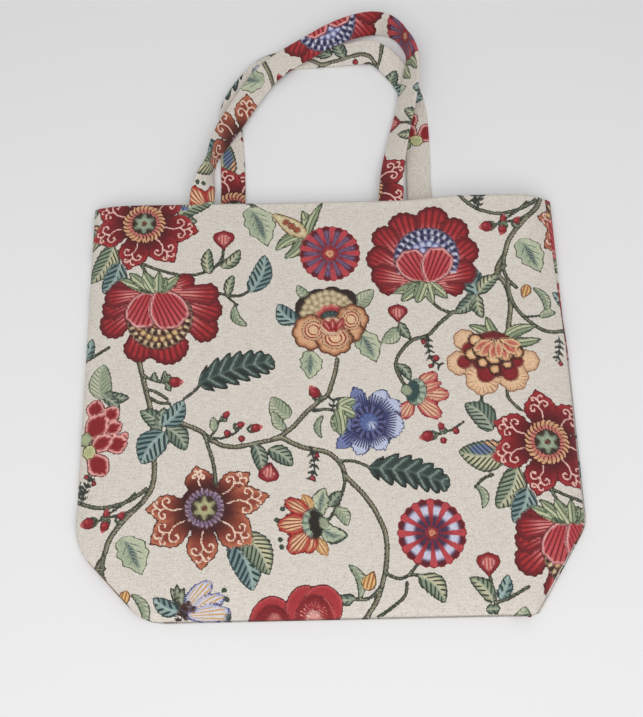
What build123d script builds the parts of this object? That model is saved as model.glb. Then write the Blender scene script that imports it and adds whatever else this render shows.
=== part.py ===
from build123d import *
import os
from math import cos, sin, radians

os.makedirs("parts", exist_ok=True)

# A tapestry tote bag lying on its back, front up, with its boxed base pushed in.
# Z = 0 is the surface under it, +Y runs to the mouth and +X to the right of the front.
# The origin is the middle of the bag's back, where it rests.

# Bag, lying flat
bag_width = 419.0          # side seam to side seam
bag_height = 370.0         # mouth to the front edge of the base
mouth_share = 0.4975       # share of the height between the origin and the mouth
base_depth = 100.0         # front to back of the base when it stands
bag_thickness = 18.0       # table to the highest cloth
seam_level = 7.0           # height of the side seams above the table

# Creases that the boxed corners leave across the lower corners
left_crease_in = 59.0
left_crease_up = 62.0
right_crease_in = 47.0
right_crease_up = 72.0
left_crease_round = 42.0
right_crease_round = 9.0

# How the cloth rolls from its flat middle down to the seams
front_roll = 45.0
back_roll = 9.0
pleat_gap = 2.4            # height of the base pleat at its outer end
pleat_root_gap = 0.4       # height of the pleat at the base seam

# Cloth
cloth = 1.4
lining = 0.6
clearance = 0.3

# Strip of the back's cloth that shows beside the front at the upper right seam
seam_turn_width = 6.5
seam_turn_length = 154.0

# Handles
strap_width = 22.5
strap_thickness = 3.0
strap_edge = 0.9           # how much the folded edges are rounded off
strap_tuck = 28.0          # length caught between cloth and lining
handle_spacing = 173.0     # middle to middle of one handle's two ends
handle_reach = 199.0       # mouth to the middle of the strap at the top of the front handle
front_handle_middle = -24.2
back_handle_middle = 3.4
strap_lift = 0.3           # lowest edge of a strap above the table

# Places worked out from the sizes
mouth_y = bag_height * mouth_share
base_y = mouth_y - bag_height
pleat_depth = base_depth / 2
front_rise = bag_thickness - seam_level
over_mouth = 60.0          # the cutting shapes run this far past the mouth
roll_angles = (0, 18, 36, 54, 72, 90)


def crease_points(inset):
    """Corners of the bag's outline, moved inwards by the inset, from the left of the mouth round the base."""
    half = bag_width / 2
    top = mouth_y + over_mouth
    corners = [
        Vector(-half, top),
        Vector(-half, base_y + left_crease_up),
        Vector(-half + left_crease_in, base_y),
        Vector(half - right_crease_in, base_y),
        Vector(half, base_y + right_crease_up),
        Vector(half, top),
    ]
    sides = [(b - a).normalized() for a, b in zip(corners, corners[1:])]
    inwards = [Vector(-side.Y, side.X) for side in sides]
    moved = [corners[0] + inwards[0] * inset]
    for corner, before, after in zip(corners[1:], inwards, inwards[1:]):
        moved.append(corner + (before + after) * (inset / (1 + before.dot(after))))
    moved.append(corners[-1] + inwards[-1] * inset)
    return moved


def rolled_half(depth, rise, roll):
    """Loft the upper or lower half of the bag, the depth under its outer skin, outwards from the seams."""
    rounds = [left_crease_round, left_crease_round, right_crease_round, right_crease_round]
    reach = rise - depth if rise > 0 else rise + depth
    with BuildPart() as half:
        for angle in roll_angles:
            inset = depth + (roll - depth) * (1 - cos(radians(angle)))
            with BuildSketch(Plane.XY.offset(seam_level + reach * sin(radians(angle)))):
                with BuildLine():
                    edge = FilletPolyline(*crease_points(inset), radius=rounds)
                    Line(edge @ 1, edge @ 0)
                make_face()
        loft(ruled=True)
        split(bisect_by=Plane.XZ.offset(-mouth_y), keep=Keep.TOP)
    return half.part


def pleat(wall):
    """The wedge of air in the base pleat, with a wall of cloth added all round it."""
    start = base_y - 1
    end = base_y + pleat_depth + wall
    outer = pleat_gap / 2 + wall
    root = pleat_root_gap / 2 + wall
    with BuildPart() as wedge:
        with BuildSketch(Plane.YZ.offset(-bag_width)):
            with BuildLine():
                Polyline(
                    (start, seam_level - outer),
                    (end, seam_level - root),
                    (end, seam_level + root),
                    (start, seam_level + outer),
                    close=True,
                )
            make_face()
        extrude(amount=2 * bag_width)
    return wedge.part


def seam_turn():
    """The narrow triangle at the upper right where the back's cloth turns over on to the front."""
    edge = bag_width / 2
    with BuildPart() as turn:
        with BuildSketch(Plane.XY.offset(seam_level)):
            with BuildLine():
                Polyline(
                    (edge - seam_turn_width, mouth_y),
                    (edge, mouth_y - seam_turn_length),
                    (edge + over_mouth, mouth_y - seam_turn_length),
                    (edge + over_mouth, mouth_y + over_mouth),
                    (edge - seam_turn_width, mouth_y + over_mouth),
                    close=True,
                )
            make_face()
        extrude(amount=2 * bag_thickness)
    return turn.part


def panel_shell(rise, roll):
    """One panel with its half of the base, as a shell one cloth thick from the seam level outwards."""
    with BuildPart() as hollow:
        add(rolled_half(cloth, rise, roll))
        add(pleat(cloth), mode=Mode.SUBTRACT)
    with BuildPart() as shell:
        add(rolled_half(0, rise, roll))
        add(pleat(0), mode=Mode.SUBTRACT)
        add(hollow.part, mode=Mode.SUBTRACT)
    return shell.part


# The front ends at the right side seam, which lies a little in from the edge near the mouth
front_shell = panel_shell(front_rise, front_roll)
with BuildPart() as front_panel:
    add(front_shell)
    add(seam_turn(), mode=Mode.SUBTRACT)
front_panel.part.label = "front_panel"

# The back lies flat on the table, and its right edge turns over on to the front
with BuildPart() as turned_strip:
    add(front_shell)
    add(seam_turn(), mode=Mode.INTERSECT)
with BuildPart() as back_panel:
    add(panel_shell(-seam_level, back_roll))
    add(turned_strip.part)
back_panel.part.label = "back_panel"

# Strap ends lie between the cloth and the lining, which bulges inwards round them
handle_ends = (-handle_spacing / 2, handle_spacing / 2)
front_end_level = bag_thickness - cloth - clearance - strap_thickness / 2
back_end_level = cloth + clearance + strap_thickness / 2


def strap_pockets(middle, level, wall):
    """Room for the two strap ends of one handle, with a wall of lining added to it."""
    across = strap_width + 2 * (clearance + wall)
    deep = strap_tuck + clearance + wall
    high = strap_thickness + 2 * (clearance + wall)
    with BuildPart() as pockets:
        with Locations(*[(middle + end, mouth_y - deep, level) for end in handle_ends]):
            Box(across, deep + over_mouth, high, align=(Align.CENTER, Align.MIN, Align.CENTER))
    return pockets.part


def lining_shell(rise, roll, middle, level):
    """One side of the lining: a shell inside the cloth that stops above the pushed-in base."""
    floor = base_y + pleat_depth + cloth + clearance
    outer_depth = cloth + clearance
    inner_depth = outer_depth + lining
    with BuildPart() as hollow:
        add(rolled_half(inner_depth, rise, roll))
        split(bisect_by=Plane.XZ.offset(-floor - lining), keep=Keep.BOTTOM)
        add(strap_pockets(middle, level, lining), mode=Mode.SUBTRACT)
    with BuildPart() as shell:
        add(rolled_half(outer_depth, rise, roll))
        split(bisect_by=Plane.XZ.offset(-floor), keep=Keep.BOTTOM)
        add(strap_pockets(middle, level, 0), mode=Mode.SUBTRACT)
        add(hollow.part, mode=Mode.SUBTRACT)
    return shell.part


with BuildPart() as front_lining:
    add(lining_shell(front_rise, front_roll, front_handle_middle, front_end_level))
front_lining.part.label = "front_lining"

with BuildPart() as back_lining:
    add(lining_shell(-seam_level, back_roll, back_handle_middle, back_end_level))
back_lining.part.label = "back_lining"

# Each strap's route round its loop, from its left end to its right end. A station is its place
# across (percent of half the spacing, from the handle's middle), its place along (percent of the
# reach, from the mouth), how many strap layers are under its lower edge, and its lean in degrees,
# which lifts the edge on the outer side of the loop.
front_stations = [
    (-99.5, 4.5, 3.40, 12),
    (-98.0, 9.0, 2.50, 30),
    (-96.0, 14.5, 1.40, 52),
    (-93.5, 19.0, 0.80, 70),
    (-90.5, 24.0, 0.60, 79),
    (-86.5, 29.0, 1.10, 70),
    (-80.5, 34.5, 1.60, 56),
    (-71.0, 42.5, 1.60, 42),
    (-60.0, 51.5, 1.35, 33),
    (-47.0, 61.5, 1.25, 25),
    (-30.5, 72.0, 1.45, 15),
    (-8.0, 80.5, 1.60, 9),
    (18.0, 87.5, 1.90, 11),
    (43.0, 93.5, 2.10, 18),
    (67.0, 98.0, 1.50, 28),
    (87.5, 99.8, 0.90, 42),
    (104.0, 98.5, 0.55, 60),
    (116.5, 94.5, 0.55, 74),
    (124.5, 89.0, 0.70, 79),
    (129.0, 82.0, 2.10, 75),
    (130.0, 74.5, 3.10, 63),
    (127.5, 64.5, 2.60, 49),
    (121.0, 50.5, 1.70, 41),
    (113.0, 37.0, 1.50, 36),
    (106.5, 24.0, 2.10, 27),
    (102.5, 13.0, 3.10, 14),
    (101.0, 6.0, 3.60, 4),
]
back_stations = [
    (-100.0, 6.0, 0.35, 0),
    (-100.0, 13.0, 0.05, 0),
    (-101.5, 30.0, 0.00, 0),
    (-103.5, 42.0, 0.00, 3),
    (-103.5, 48.5, 0.05, 10),
    (-100.0, 55.0, 0.15, 19),
    (-92.0, 61.5, 0.20, 25),
    (-82.0, 68.0, 0.25, 21),
    (-70.0, 75.0, 0.20, 13),
    (-55.0, 80.0, 0.10, 5),
    (-37.0, 82.5, 0.05, 0),
    (-13.0, 83.5, 0.05, 0),
    (12.0, 84.0, 0.10, 4),
    (32.0, 84.5, 0.25, 13),
    (50.0, 83.8, 0.50, 36),
    (62.0, 81.5, 0.40, 46),
    (71.0, 78.5, 0.30, 38),
    (79.0, 75.3, 0.20, 20),
    (86.0, 71.7, 0.20, 8),
    (93.0, 66.0, 0.10, 0),
    (98.5, 57.5, 0.00, 0),
    (101.0, 47.0, 0.00, 0),
    (101.0, 25.5, 0.00, 0),
    (100.0, 13.0, 0.05, 0),
    (100.0, 6.0, 0.35, 0),
]
mouth_run = 2.0            # straight length of a strap past the mouth


def route(stations, middle, end_level):
    """Middles and leans of one strap's sections, from just past the mouth round to the mouth again."""
    left, right = handle_ends
    layer = strap_thickness + clearance
    points = [(Vector(middle + left, mouth_y + mouth_run, end_level), 0)]
    for across, along, layers, lean in stations:
        rise = (strap_width - strap_thickness) / 2 * sin(radians(lean))
        level = strap_lift + layers * layer + rise + strap_thickness / 2
        x = middle + across / 100 * right
        y = mouth_y + along / 100 * handle_reach
        points.append((Vector(x, y, level), lean))
    points.append((Vector(middle + right, mouth_y + mouth_run, end_level), 0))
    return points


def strap(stations, middle, end_level):
    """One folded strap with round folded edges: a loft through its stations and two straight tucked ends."""
    points = route(stations, middle, end_level)
    places = [place for place, _ in points]
    inwards = Vector(0, mouth_run, 0)
    before = places[0] - inwards
    after = places[-1] - inwards
    with BuildPart() as band:
        for index, (place, lean) in enumerate(points):
            ahead = places[index + 1] if place is not places[-1] else after
            behind = places[index - 1] if index else before
            heading = (ahead - behind).normalized()
            outwards = Vector(-heading.Y, heading.X).normalized()
            outwards = outwards * cos(radians(lean)) + Vector(0, 0, sin(radians(lean)))
            if index in (0, len(points) - 1):
                outwards = Vector(1, 0, 0)
                heading = Vector(0, 1 if index == 0 else -1, 0)
            normal = (heading - outwards * heading.dot(outwards)).normalized()
            with BuildSketch(Plane(origin=place, x_dir=outwards, z_dir=normal)) as section:
                Rectangle(strap_width, strap_thickness)
                chamfer(section.vertices(), length=strap_edge)
        loft(ruled=True)
        for place in (places[0], places[-1]):
            with BuildSketch(Plane(origin=place, x_dir=(1, 0, 0), z_dir=(0, -1, 0))) as section:
                Rectangle(strap_width, strap_thickness)
                chamfer(section.vertices(), length=strap_edge)
        extrude(amount=strap_tuck + mouth_run)
    return band.part


with BuildPart() as front_handle:
    add(strap(front_stations, front_handle_middle, front_end_level))
front_handle.part.label = "front_handle"

with BuildPart() as back_handle:
    add(strap(back_stations, back_handle_middle, back_end_level))
back_handle.part.label = "back_handle"

for piece in (front_panel, back_panel, front_lining, back_lining, front_handle, back_handle):
    export_step(piece.part, f"parts/{piece.part.label}.step")
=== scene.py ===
import bpy
import numpy as np
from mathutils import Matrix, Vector


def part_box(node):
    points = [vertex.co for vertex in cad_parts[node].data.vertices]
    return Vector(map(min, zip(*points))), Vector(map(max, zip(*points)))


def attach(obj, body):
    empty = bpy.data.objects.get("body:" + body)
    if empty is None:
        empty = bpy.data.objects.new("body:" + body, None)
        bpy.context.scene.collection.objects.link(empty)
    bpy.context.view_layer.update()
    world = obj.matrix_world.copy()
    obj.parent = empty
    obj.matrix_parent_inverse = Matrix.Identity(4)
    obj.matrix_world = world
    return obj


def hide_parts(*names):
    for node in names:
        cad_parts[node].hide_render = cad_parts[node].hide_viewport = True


# A tapestry tote bag that lies on its back, front up, with its boxed base pushed in as a pleat.
# Sizes are in millimetres until a mesh is made. +Y runs to the mouth, +X to the right of the
# front, and Z = 0 is the surface under the bag.
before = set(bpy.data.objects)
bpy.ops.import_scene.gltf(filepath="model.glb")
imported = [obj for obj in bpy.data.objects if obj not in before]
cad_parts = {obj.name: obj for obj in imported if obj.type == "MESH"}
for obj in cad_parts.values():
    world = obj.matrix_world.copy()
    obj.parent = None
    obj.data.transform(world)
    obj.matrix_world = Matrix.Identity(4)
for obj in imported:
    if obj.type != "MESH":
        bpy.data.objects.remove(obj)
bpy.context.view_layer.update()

# Front panel: one cut of tapestry cloth, woven from cream, red, green, blue and gold yarns.
# It lies over the empty bag, rolls down to the side seams, and turns under at the base, where
# it is pushed inwards as the upper side of the pleat. Its mouth edge is folded over.
front_low, front_high = (np.array(corner) * 1000 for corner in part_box("front_panel"))
bag_half, mouth_y, bag_top = front_high
base_y = front_low[1]
seam_level = front_low[2]
front_rise = bag_top - seam_level
front_roll = 45.0                # width over which the front rolls down to its seams
cloth_thick = 1.4
cell = 1.37                      # one step of the cloth's mesh
coarse = 4                       # the cloth's hidden side has one step for each of these
outline_places = 8381            # places across the bag at which its outline is looked for
left_crease = (59.0, 62.0, 12.8)     # how far in and up it cuts the corner, and its softness
right_crease = (47.0, 72.0, 4.3)
pleat_depth = 50.0
pleat_rows = 3                   # rows of the hidden side in the pleat
pleat_gaps = (1.2, 0.2)          # half the pleat's height at its mouth and at its root
mouth_lift = 8.0                 # the mouth's right end stands up by this much
lift_across = (62.0, 132.0)      # where it starts to rise, and where it is fully up
lift_start = 96.0                # how far up the front it starts to rise
fold_depth = 6.0                 # width of the folded mouth edge
mouth_round = 0.7                # how far the fold itself rounds off
seam_turn_width = 6.5            # the back's cloth shows beside the front at the upper right
seam_turn_length = 154.0
seam_turn_least = 0.4


def ramp(value, start, end):
    """Smooth step: 0 before start, 1 after end, and three squares less two cubes of the share between."""
    share = np.clip((value - start) / (end - start), 0, 1)
    return share * share * (3 - 2 * share)


def soft_least(a, b, softness):
    """The smaller of two distances, rounded by a parabola where they differ by less than the softness."""
    close = np.maximum(softness - np.abs(a - b), 0)
    return np.minimum(a, b) - close * close / (4 * softness)


def inset(x, y):
    """Distance in from the outline: the least distance from a side, a corner crease and the base fold."""
    up = y - base_y
    found = []
    for from_side, (across, along, softness) in ((bag_half + x, left_crease), (bag_half - x, right_crease)):
        crease = (from_side * along + up * across - across * along) / np.hypot(across, along)
        found.append(soft_least(soft_least(from_side, crease, softness), up, softness))
    return np.minimum(*found)


def rolled(distance, roll, rise):
    """Height over the seam: a quarter of an ellipse, as wide as the roll and as high as the rise."""
    share = 1 - np.clip(distance / roll, 0, 1)
    return rise * np.sqrt(1 - share * share)


def relief(x, y):
    """Slight unevenness of cloth that lies loose: three long crossed waves, under half a millimetre each."""
    waves = 0.45 * np.sin(x / 61 + y / 97 + 0.6) * np.sin(y / 53 - x / 140 + 1.1)
    waves += 0.30 * np.sin(x / 33 - y / 41 + 2.0) * np.sin(y / 77 + 0.4)
    return waves + 0.16 * np.sin(x / 17 + 2 * np.sin(y / 60)) * ramp(y, base_y, base_y + 60)


def open_pleat(y):
    """Half the pleat's height: full at the base fold, and evenly less to none a pleat's depth above it."""
    return pleat_gaps[0] * (1 - np.clip((y - base_y) / pleat_depth, 0, 1))


def front_height(x, y):
    """Height of the front's face: the rolled edge, the loose waves and the lifted right end of the mouth."""
    edge = inset(x, y)
    flat = ramp(edge, 2, front_roll)
    lift = mouth_lift * ramp(x, *lift_across) * ramp(y, lift_start, mouth_y - 4) * ramp(edge, 0, 26)
    under_fold = 0.9 * np.exp(-((y - mouth_y + fold_depth) / 7) ** 2) * ramp(edge, 0, 20)
    height = rolled(edge, front_roll, front_rise) + flat * (relief(x, y) - 0.5) - 0.5 * under_fold * flat
    return seam_level + np.maximum(height + lift, open_pleat(y))


def even_steps(count, length, roll, rise, both_ends):
    """Places along a width, evenly spaced along the cloth, which is longer where it rolls down."""
    place = np.linspace(0, length, 6001)
    from_end = np.minimum(place, length - place) if both_ends else length - place
    height = rolled(from_end, roll, rise)
    run = np.concatenate([[0], np.cumsum(np.hypot(np.diff(place), np.diff(height)))])
    return np.interp(np.linspace(0, run[-1], count), run, place)


def outline_ends(y):
    """Left and right ends of the bag's outline at each height y, found on a fine row of places."""
    x = np.linspace(-bag_half, bag_half, outline_places)
    inside = inset(x[None, :], y[:, None]) >= -1e-6
    first = x[inside.argmax(1)]
    last = x[::-1][inside[:, ::-1].argmax(1)]
    return first, last


def seam_turn(y):
    """Width of the strip of back cloth beside the front's right edge, tapering evenly from the mouth."""
    share = 1 - (mouth_y - y) / seam_turn_length
    return np.maximum(seam_turn_width * share, seam_turn_least)


def grid_normals(grid):
    """Unit normals of a grid of points: the cross product of its steps along the rows and the columns."""
    down = np.gradient(grid, axis=0)
    across = np.gradient(grid, axis=1)
    normals = np.cross(down, across)
    return normals / np.maximum(np.linalg.norm(normals, axis=2, keepdims=True), 1e-9)


def border(index):
    """The point numbers round a grid's border, in order, from its first corner."""
    return np.concatenate([index[0, :-1], index[:-1, -1], index[-1, :0:-1], index[:0:-1, 0]])


def cloth_shell(name, outer, inner, step):
    """A closed mesh from a fine outer grid of points and an inner grid of every step-th point of it."""
    rows, columns = outer.shape[:2]
    points = np.concatenate([outer.reshape(-1, 3), inner.reshape(-1, 3)]) / 1000
    fine = np.arange(rows * columns).reshape(rows, columns)
    hidden = rows * columns + np.arange(inner.shape[0] * inner.shape[1]).reshape(inner.shape[:2])
    quads = []
    for index, inwards in ((fine, False), (hidden, True)):
        corners = [index[:-1, :-1], index[1:, :-1], index[1:, 1:], index[:-1, 1:]]
        quads.append(np.stack(corners[::-1] if inwards else corners, -1).reshape(-1, 4))
    edge = border(fine)
    under = np.repeat(border(hidden), step)
    ahead = np.roll(edge, -1)
    sides = np.stack([edge, ahead, under], -1)
    gaps = np.stack([under[::step], ahead[step - 1::step], np.roll(under, -step)[::step]], -1)
    return make_mesh(name, points, np.concatenate(quads), np.concatenate([sides, gaps]))


def make_mesh(name, points, quads, triangles):
    """A smooth-shaded mesh object from points in metres, four-sided faces and three-sided faces."""
    mesh = bpy.data.meshes.new(name)
    mesh.vertices.add(len(points))
    mesh.vertices.foreach_set("co", points.astype(np.float32).ravel())
    corners = np.concatenate([quads.ravel(), triangles.ravel()]).astype(np.int32)
    sizes = np.concatenate([np.full(len(quads), 4), np.full(len(triangles), 3)])
    mesh.loops.add(len(corners))
    mesh.loops.foreach_set("vertex_index", corners)
    mesh.polygons.add(len(sizes))
    mesh.polygons.foreach_set("loop_start", (np.cumsum(sizes) - sizes).astype(np.int32))
    mesh.polygons.foreach_set("use_smooth", np.ones(len(sizes), bool))
    mesh.update(calc_edges=True)
    mesh.validate()
    return placed_object(name, mesh)


def placed_object(name, data):
    """A new object in the scene that shows the data, at the origin."""
    made = bpy.data.objects.new(name, data)
    bpy.context.scene.collection.objects.link(made)
    return made


def whole_steps(length, step, multiple):
    """Number of grid points along a length: a whole multiple of steps of about the given size, and one."""
    return int(np.ceil(length / step / multiple)) * multiple + 1


def panel_places(step, multiple, roll, rise):
    """Plan places of a panel's grid: shares across the bag from its left, and rows from the mouth down."""
    columns = whole_steps(2 * bag_half + rise, step, multiple)
    rows = whole_steps(mouth_y - base_y + rise / 2, step, multiple)
    share = even_steps(columns, 2 * bag_half, roll, rise, True) / (2 * bag_half)
    y = mouth_y - even_steps(rows, mouth_y - base_y, roll, rise, False)
    return share, y


def between_ends(left, right, share):
    """Places across each row, by their share of the way from its left end to its right end."""
    return left[:, None] + (right - left)[:, None] * share[None, :]


def point_grid(x, y, z):
    """A grid of points from places across, each row's place along the bag, and heights."""
    return np.stack(np.broadcast_arrays(x, y[:, None], z), -1)


def pleat_side(share, side, multiple):
    """One side of the pleat, from the base fold inwards: over the seam's level for 1, under it for -1."""
    inwards = np.linspace(0, pleat_depth, pleat_rows * multiple + 1)[1:]
    left, right = outline_ends(base_y + inwards)
    level = seam_level + side * np.interp(inwards, (0, pleat_depth), pleat_gaps)
    return point_grid(between_ends(left, right, share), base_y + inwards, level[:, None])


def front_grid(step, multiple):
    """The front's outer face as a grid of points: the rolled face, then the pleat's upper side inwards."""
    share, y = panel_places(step, multiple, front_roll, front_rise)
    left, right = outline_ends(y)
    right = np.where(inset(right - seam_turn(y), y) > -1, right - seam_turn(y), right)
    x = between_ends(left, right, share)
    return np.concatenate([point_grid(x, y, front_height(x, y[:, None])), pleat_side(share, 1, multiple)])


def hidden_side(outer):
    """The cloth's other face: some of the outer grid's points, moved in by the cloth's thickness."""
    outwards = grid_normals(outer)
    # The mouth's edge takes its direction from the cloth a little below it
    outwards[0] = outwards[6]
    return (outer - cloth_thick * outwards)[::coarse, ::coarse]


front_outer = front_grid(cell, coarse)
front_inner = hidden_side(front_outer)
# The mouth edge is a fold, so its first rows round off downwards
from_mouth = np.clip((mouth_y - front_outer[..., 1]) / mouth_round, 0, 1)
rounded_off = mouth_round * (1 - np.sqrt(1 - (1 - from_mouth) ** 2))
front_outer[..., 2] -= rounded_off * (front_outer[..., 1] > mouth_y - mouth_round)
front = cloth_shell("front_tapestry", front_outer, front_inner, coarse)

# The cloth's figure: a climbing tree of stems, leaves, berries and large garden flowers in the old
# crewel manner, woven into a cream ground. It is worked out here for any set of points of the
# cloth, as flat places in millimetres, and repeats over the cloth by two steps.
repeat_a = (345.0, -210.0)
repeat_b = (344.0, 258.0)
repeats = range(-4, 5)
far_in = 9.0                     # a depth that counts as far from any edge
no_streak = 1.2                  # a streak level that no ridge reaches


def mixed(first, second, share):
    """Colours between two, point by point: the first where the share is 0 and the second where it is 1."""
    first, second = np.asarray(first, float), np.asarray(second, float)
    return first + (second - first) * np.clip(share, 0, 1)[:, None]


def lay(loom, near, depth, yarn, line, streaks=None):
    """Weave one shape over what is there. Depth is the distance in from its edge, negative outside.

    The loom keeps, for each point, the distance in from the nearest edge and the colours of the
    fill and of the edge line, so that the material can draw every edge sharply between points.
    Streaks are (place in periods, colour, level), drawn where the ridge is over the level."""
    edge = loom["edge"][near]
    bare = edge < 0
    over = np.abs(depth) + 0.5
    inside = np.where(bare, depth, over)
    beside = np.where(bare, np.maximum(edge, depth), np.minimum(edge, over))
    loom["edge"][near] = np.where(depth > 0, inside, beside)
    taken = (depth > 0) | (bare & (depth > edge))
    colours = np.broadcast_to(np.asarray(yarn, float), (len(near), 3))
    lines = np.broadcast_to(np.asarray(line, float), (len(near), 3))
    loom["yarn"][near[taken]] = colours[taken]
    loom["line"][near[taken]] = lines[taken]
    place, vein, level = (0.5, colours, 1.3) if streaks is None else streaks
    loom["place"][near[taken]] = np.broadcast_to(np.asarray(place, float), len(near))[taken]
    loom["vein"][near[taken], :3] = np.broadcast_to(np.asarray(vein, float), (len(near), 3))[taken]
    loom["vein"][near[taken], 3] = np.broadcast_to(np.asarray(level, float), len(near))[taken]


def lay_within(loom, near, reached, depth, yarn, line, streaks=None):
    """Weave a shape only where a point is reached, so that it leaves all other edges alone."""
    lay(loom, near, np.where(reached, depth, -far_in), yarn, line, streaks)


def tint(loom, near, amount, colour):
    """Change the fill's colour inside shapes by an amount from 0 to 1, without a new edge."""
    loom["yarn"][near] = mixed(loom["yarn"][near], colour, amount)


def soft_in(depth, fade=0.7):
    """1 where a depth is positive and 0 where it is negative, with a short fade between."""
    return np.clip(0.5 + depth / fade, 0, 1)


def each_repeat(loom, at, reach):
    """For each repeat of a motif on the cloth: the points near it, and their places from its middle."""
    x, y, low, high = loom["x"], loom["y"], loom["low"], loom["high"]
    for a in repeats:
        for b in repeats:
            cx = at[0] + a * repeat_a[0] + b * repeat_b[0]
            cy = at[1] + a * repeat_a[1] + b * repeat_b[1]
            if low[0] - reach < cx < high[0] + reach and low[1] - reach < cy < high[1] + reach:
                near = np.flatnonzero((np.abs(x - cx) < reach) & (np.abs(y - cy) < reach))
                if len(near):
                    yield near, x[near] - cx, y[near] - cy


def polar(x, y):
    """Distance from the middle, and angle in degrees from the x axis."""
    return np.hypot(x, y), np.degrees(np.arctan2(y, x))


def along(dx, dy, degrees):
    """Places turned into an axis at that angle: how far along it, and how far to its left."""
    c, s = np.cos(np.radians(degrees)), np.sin(np.radians(degrees))
    return dx * c + dy * s, dy * c - dx * s


def outlined(p, q, length, widths):
    """Depth inside a form round an axis, with half widths given at evenly spaced shares of its length."""
    share = np.clip(p / length, 0, 1)
    stops = np.linspace(0, 1, len(widths))
    half = np.interp(share, stops, widths)
    ahead, behind = (np.interp(share + step, stops, widths) for step in (0.03, -0.03))
    slope = (ahead - behind) / (0.06 * length)
    beyond = np.maximum(-p, p - length)
    inside = (half - np.abs(q)) / np.sqrt(1 + slope * slope)
    past_end = -np.hypot(beyond, np.maximum(np.abs(q) - half, 0))
    return np.where(beyond > 0, past_end, np.minimum(inside, far_in))


def folded(turns):
    """Distance from the nearest whole number, which stays continuous where an angle starts again."""
    return np.abs(turns - np.round(turns))


def ridge(value, spacing):
    """A wave that is 1 on evenly spaced lines and 0 between them."""
    return 0.5 + 0.5 * np.cos(2 * np.pi * value / spacing)


def running_length(points):
    """Length from the first point to each of them, along the straight lines between."""
    return np.concatenate([[0], np.cumsum(np.linalg.norm(np.diff(points, axis=0), axis=1))])


def smooth_curve(points, reach, at):
    """A smooth curve through points that stand at given reaches, read at other reaches.

    From one point to the next it is a cubic whose slopes at both are the mean slopes round them."""
    slope = np.gradient(points, reach, axis=0)
    span = np.clip(np.searchsorted(reach, at, side="right") - 1, 0, len(points) - 2)
    gap = (reach[span + 1] - reach[span])[:, None]
    t = (at - reach[span])[:, None] / gap
    start = (2 * t**3 - 3 * t**2 + 1) * points[span] + (t**3 - 2 * t**2 + t) * gap * slope[span]
    end = (3 * t**2 - 2 * t**3) * points[span + 1] + (t**3 - t**2) * gap * slope[span + 1]
    return start + end


# Leaves, by kind: edge line, fill, shaded half, veins
leaf_kinds = {
    "green": ((30, 42, 38), (152, 162, 142), (116, 132, 116), (50, 68, 60)),
    "teal": ((34, 52, 56), (142, 164, 156), (112, 138, 136), (38, 60, 66)),
    "pale": ((66, 78, 58), (188, 192, 166), (156, 166, 142), (104, 118, 92)),
    "lobed": ((72, 84, 62), (186, 194, 166), (162, 174, 148), (90, 108, 84)),
    "gold": ((32, 44, 38), (198, 192, 158), (136, 150, 126), (48, 62, 50)),
    "sepal": ((44, 56, 40), (192, 196, 160), (144, 156, 126), (86, 102, 76)),
    "kidney": ((44, 58, 44), (180, 186, 162), (146, 158, 134), (86, 102, 78)),
}
vein_gaps = {"green": 4.6, "gold": 4.6, "teal": 5.6, "lobed": 6.0, "kidney": 3.8, "pale": 3.8, "sepal": 3.2}
tooth_size = 4.6
pale_rib, teal_rib = (188, 190, 166), (170, 186, 182)


def blade_width(kind, share, slant, q, half, bend):
    """A leaf's half width at each share of its length: pointed, lobed or bean-shaped, with toothed edges."""
    if kind == "lobed":
        width = 0.92 * half * np.interp(share, (0, 0.06, 0.2, 0.42, 0.62, 0.8, 0.92, 1),
                                        (0, 0.52, 0.86, 1.0, 0.84, 0.48, 0.18, 0))
        return width * (1 + 0.10 * np.sin(24 * share + 0.9 * np.sign(q)))
    if kind == "kidney":
        return 0.62 * half * np.sin(np.pi * share) ** 0.45 * np.where(q * bend > 0, 1.0, 0.8)
    width = half * 2.35 * share ** 0.55 * (1 - share) ** 0.75
    if kind in ("green", "gold", "teal"):
        width = width * (1 + 0.07 * np.cos(slant * 2 * np.pi / tooth_size))
    return width


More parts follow.
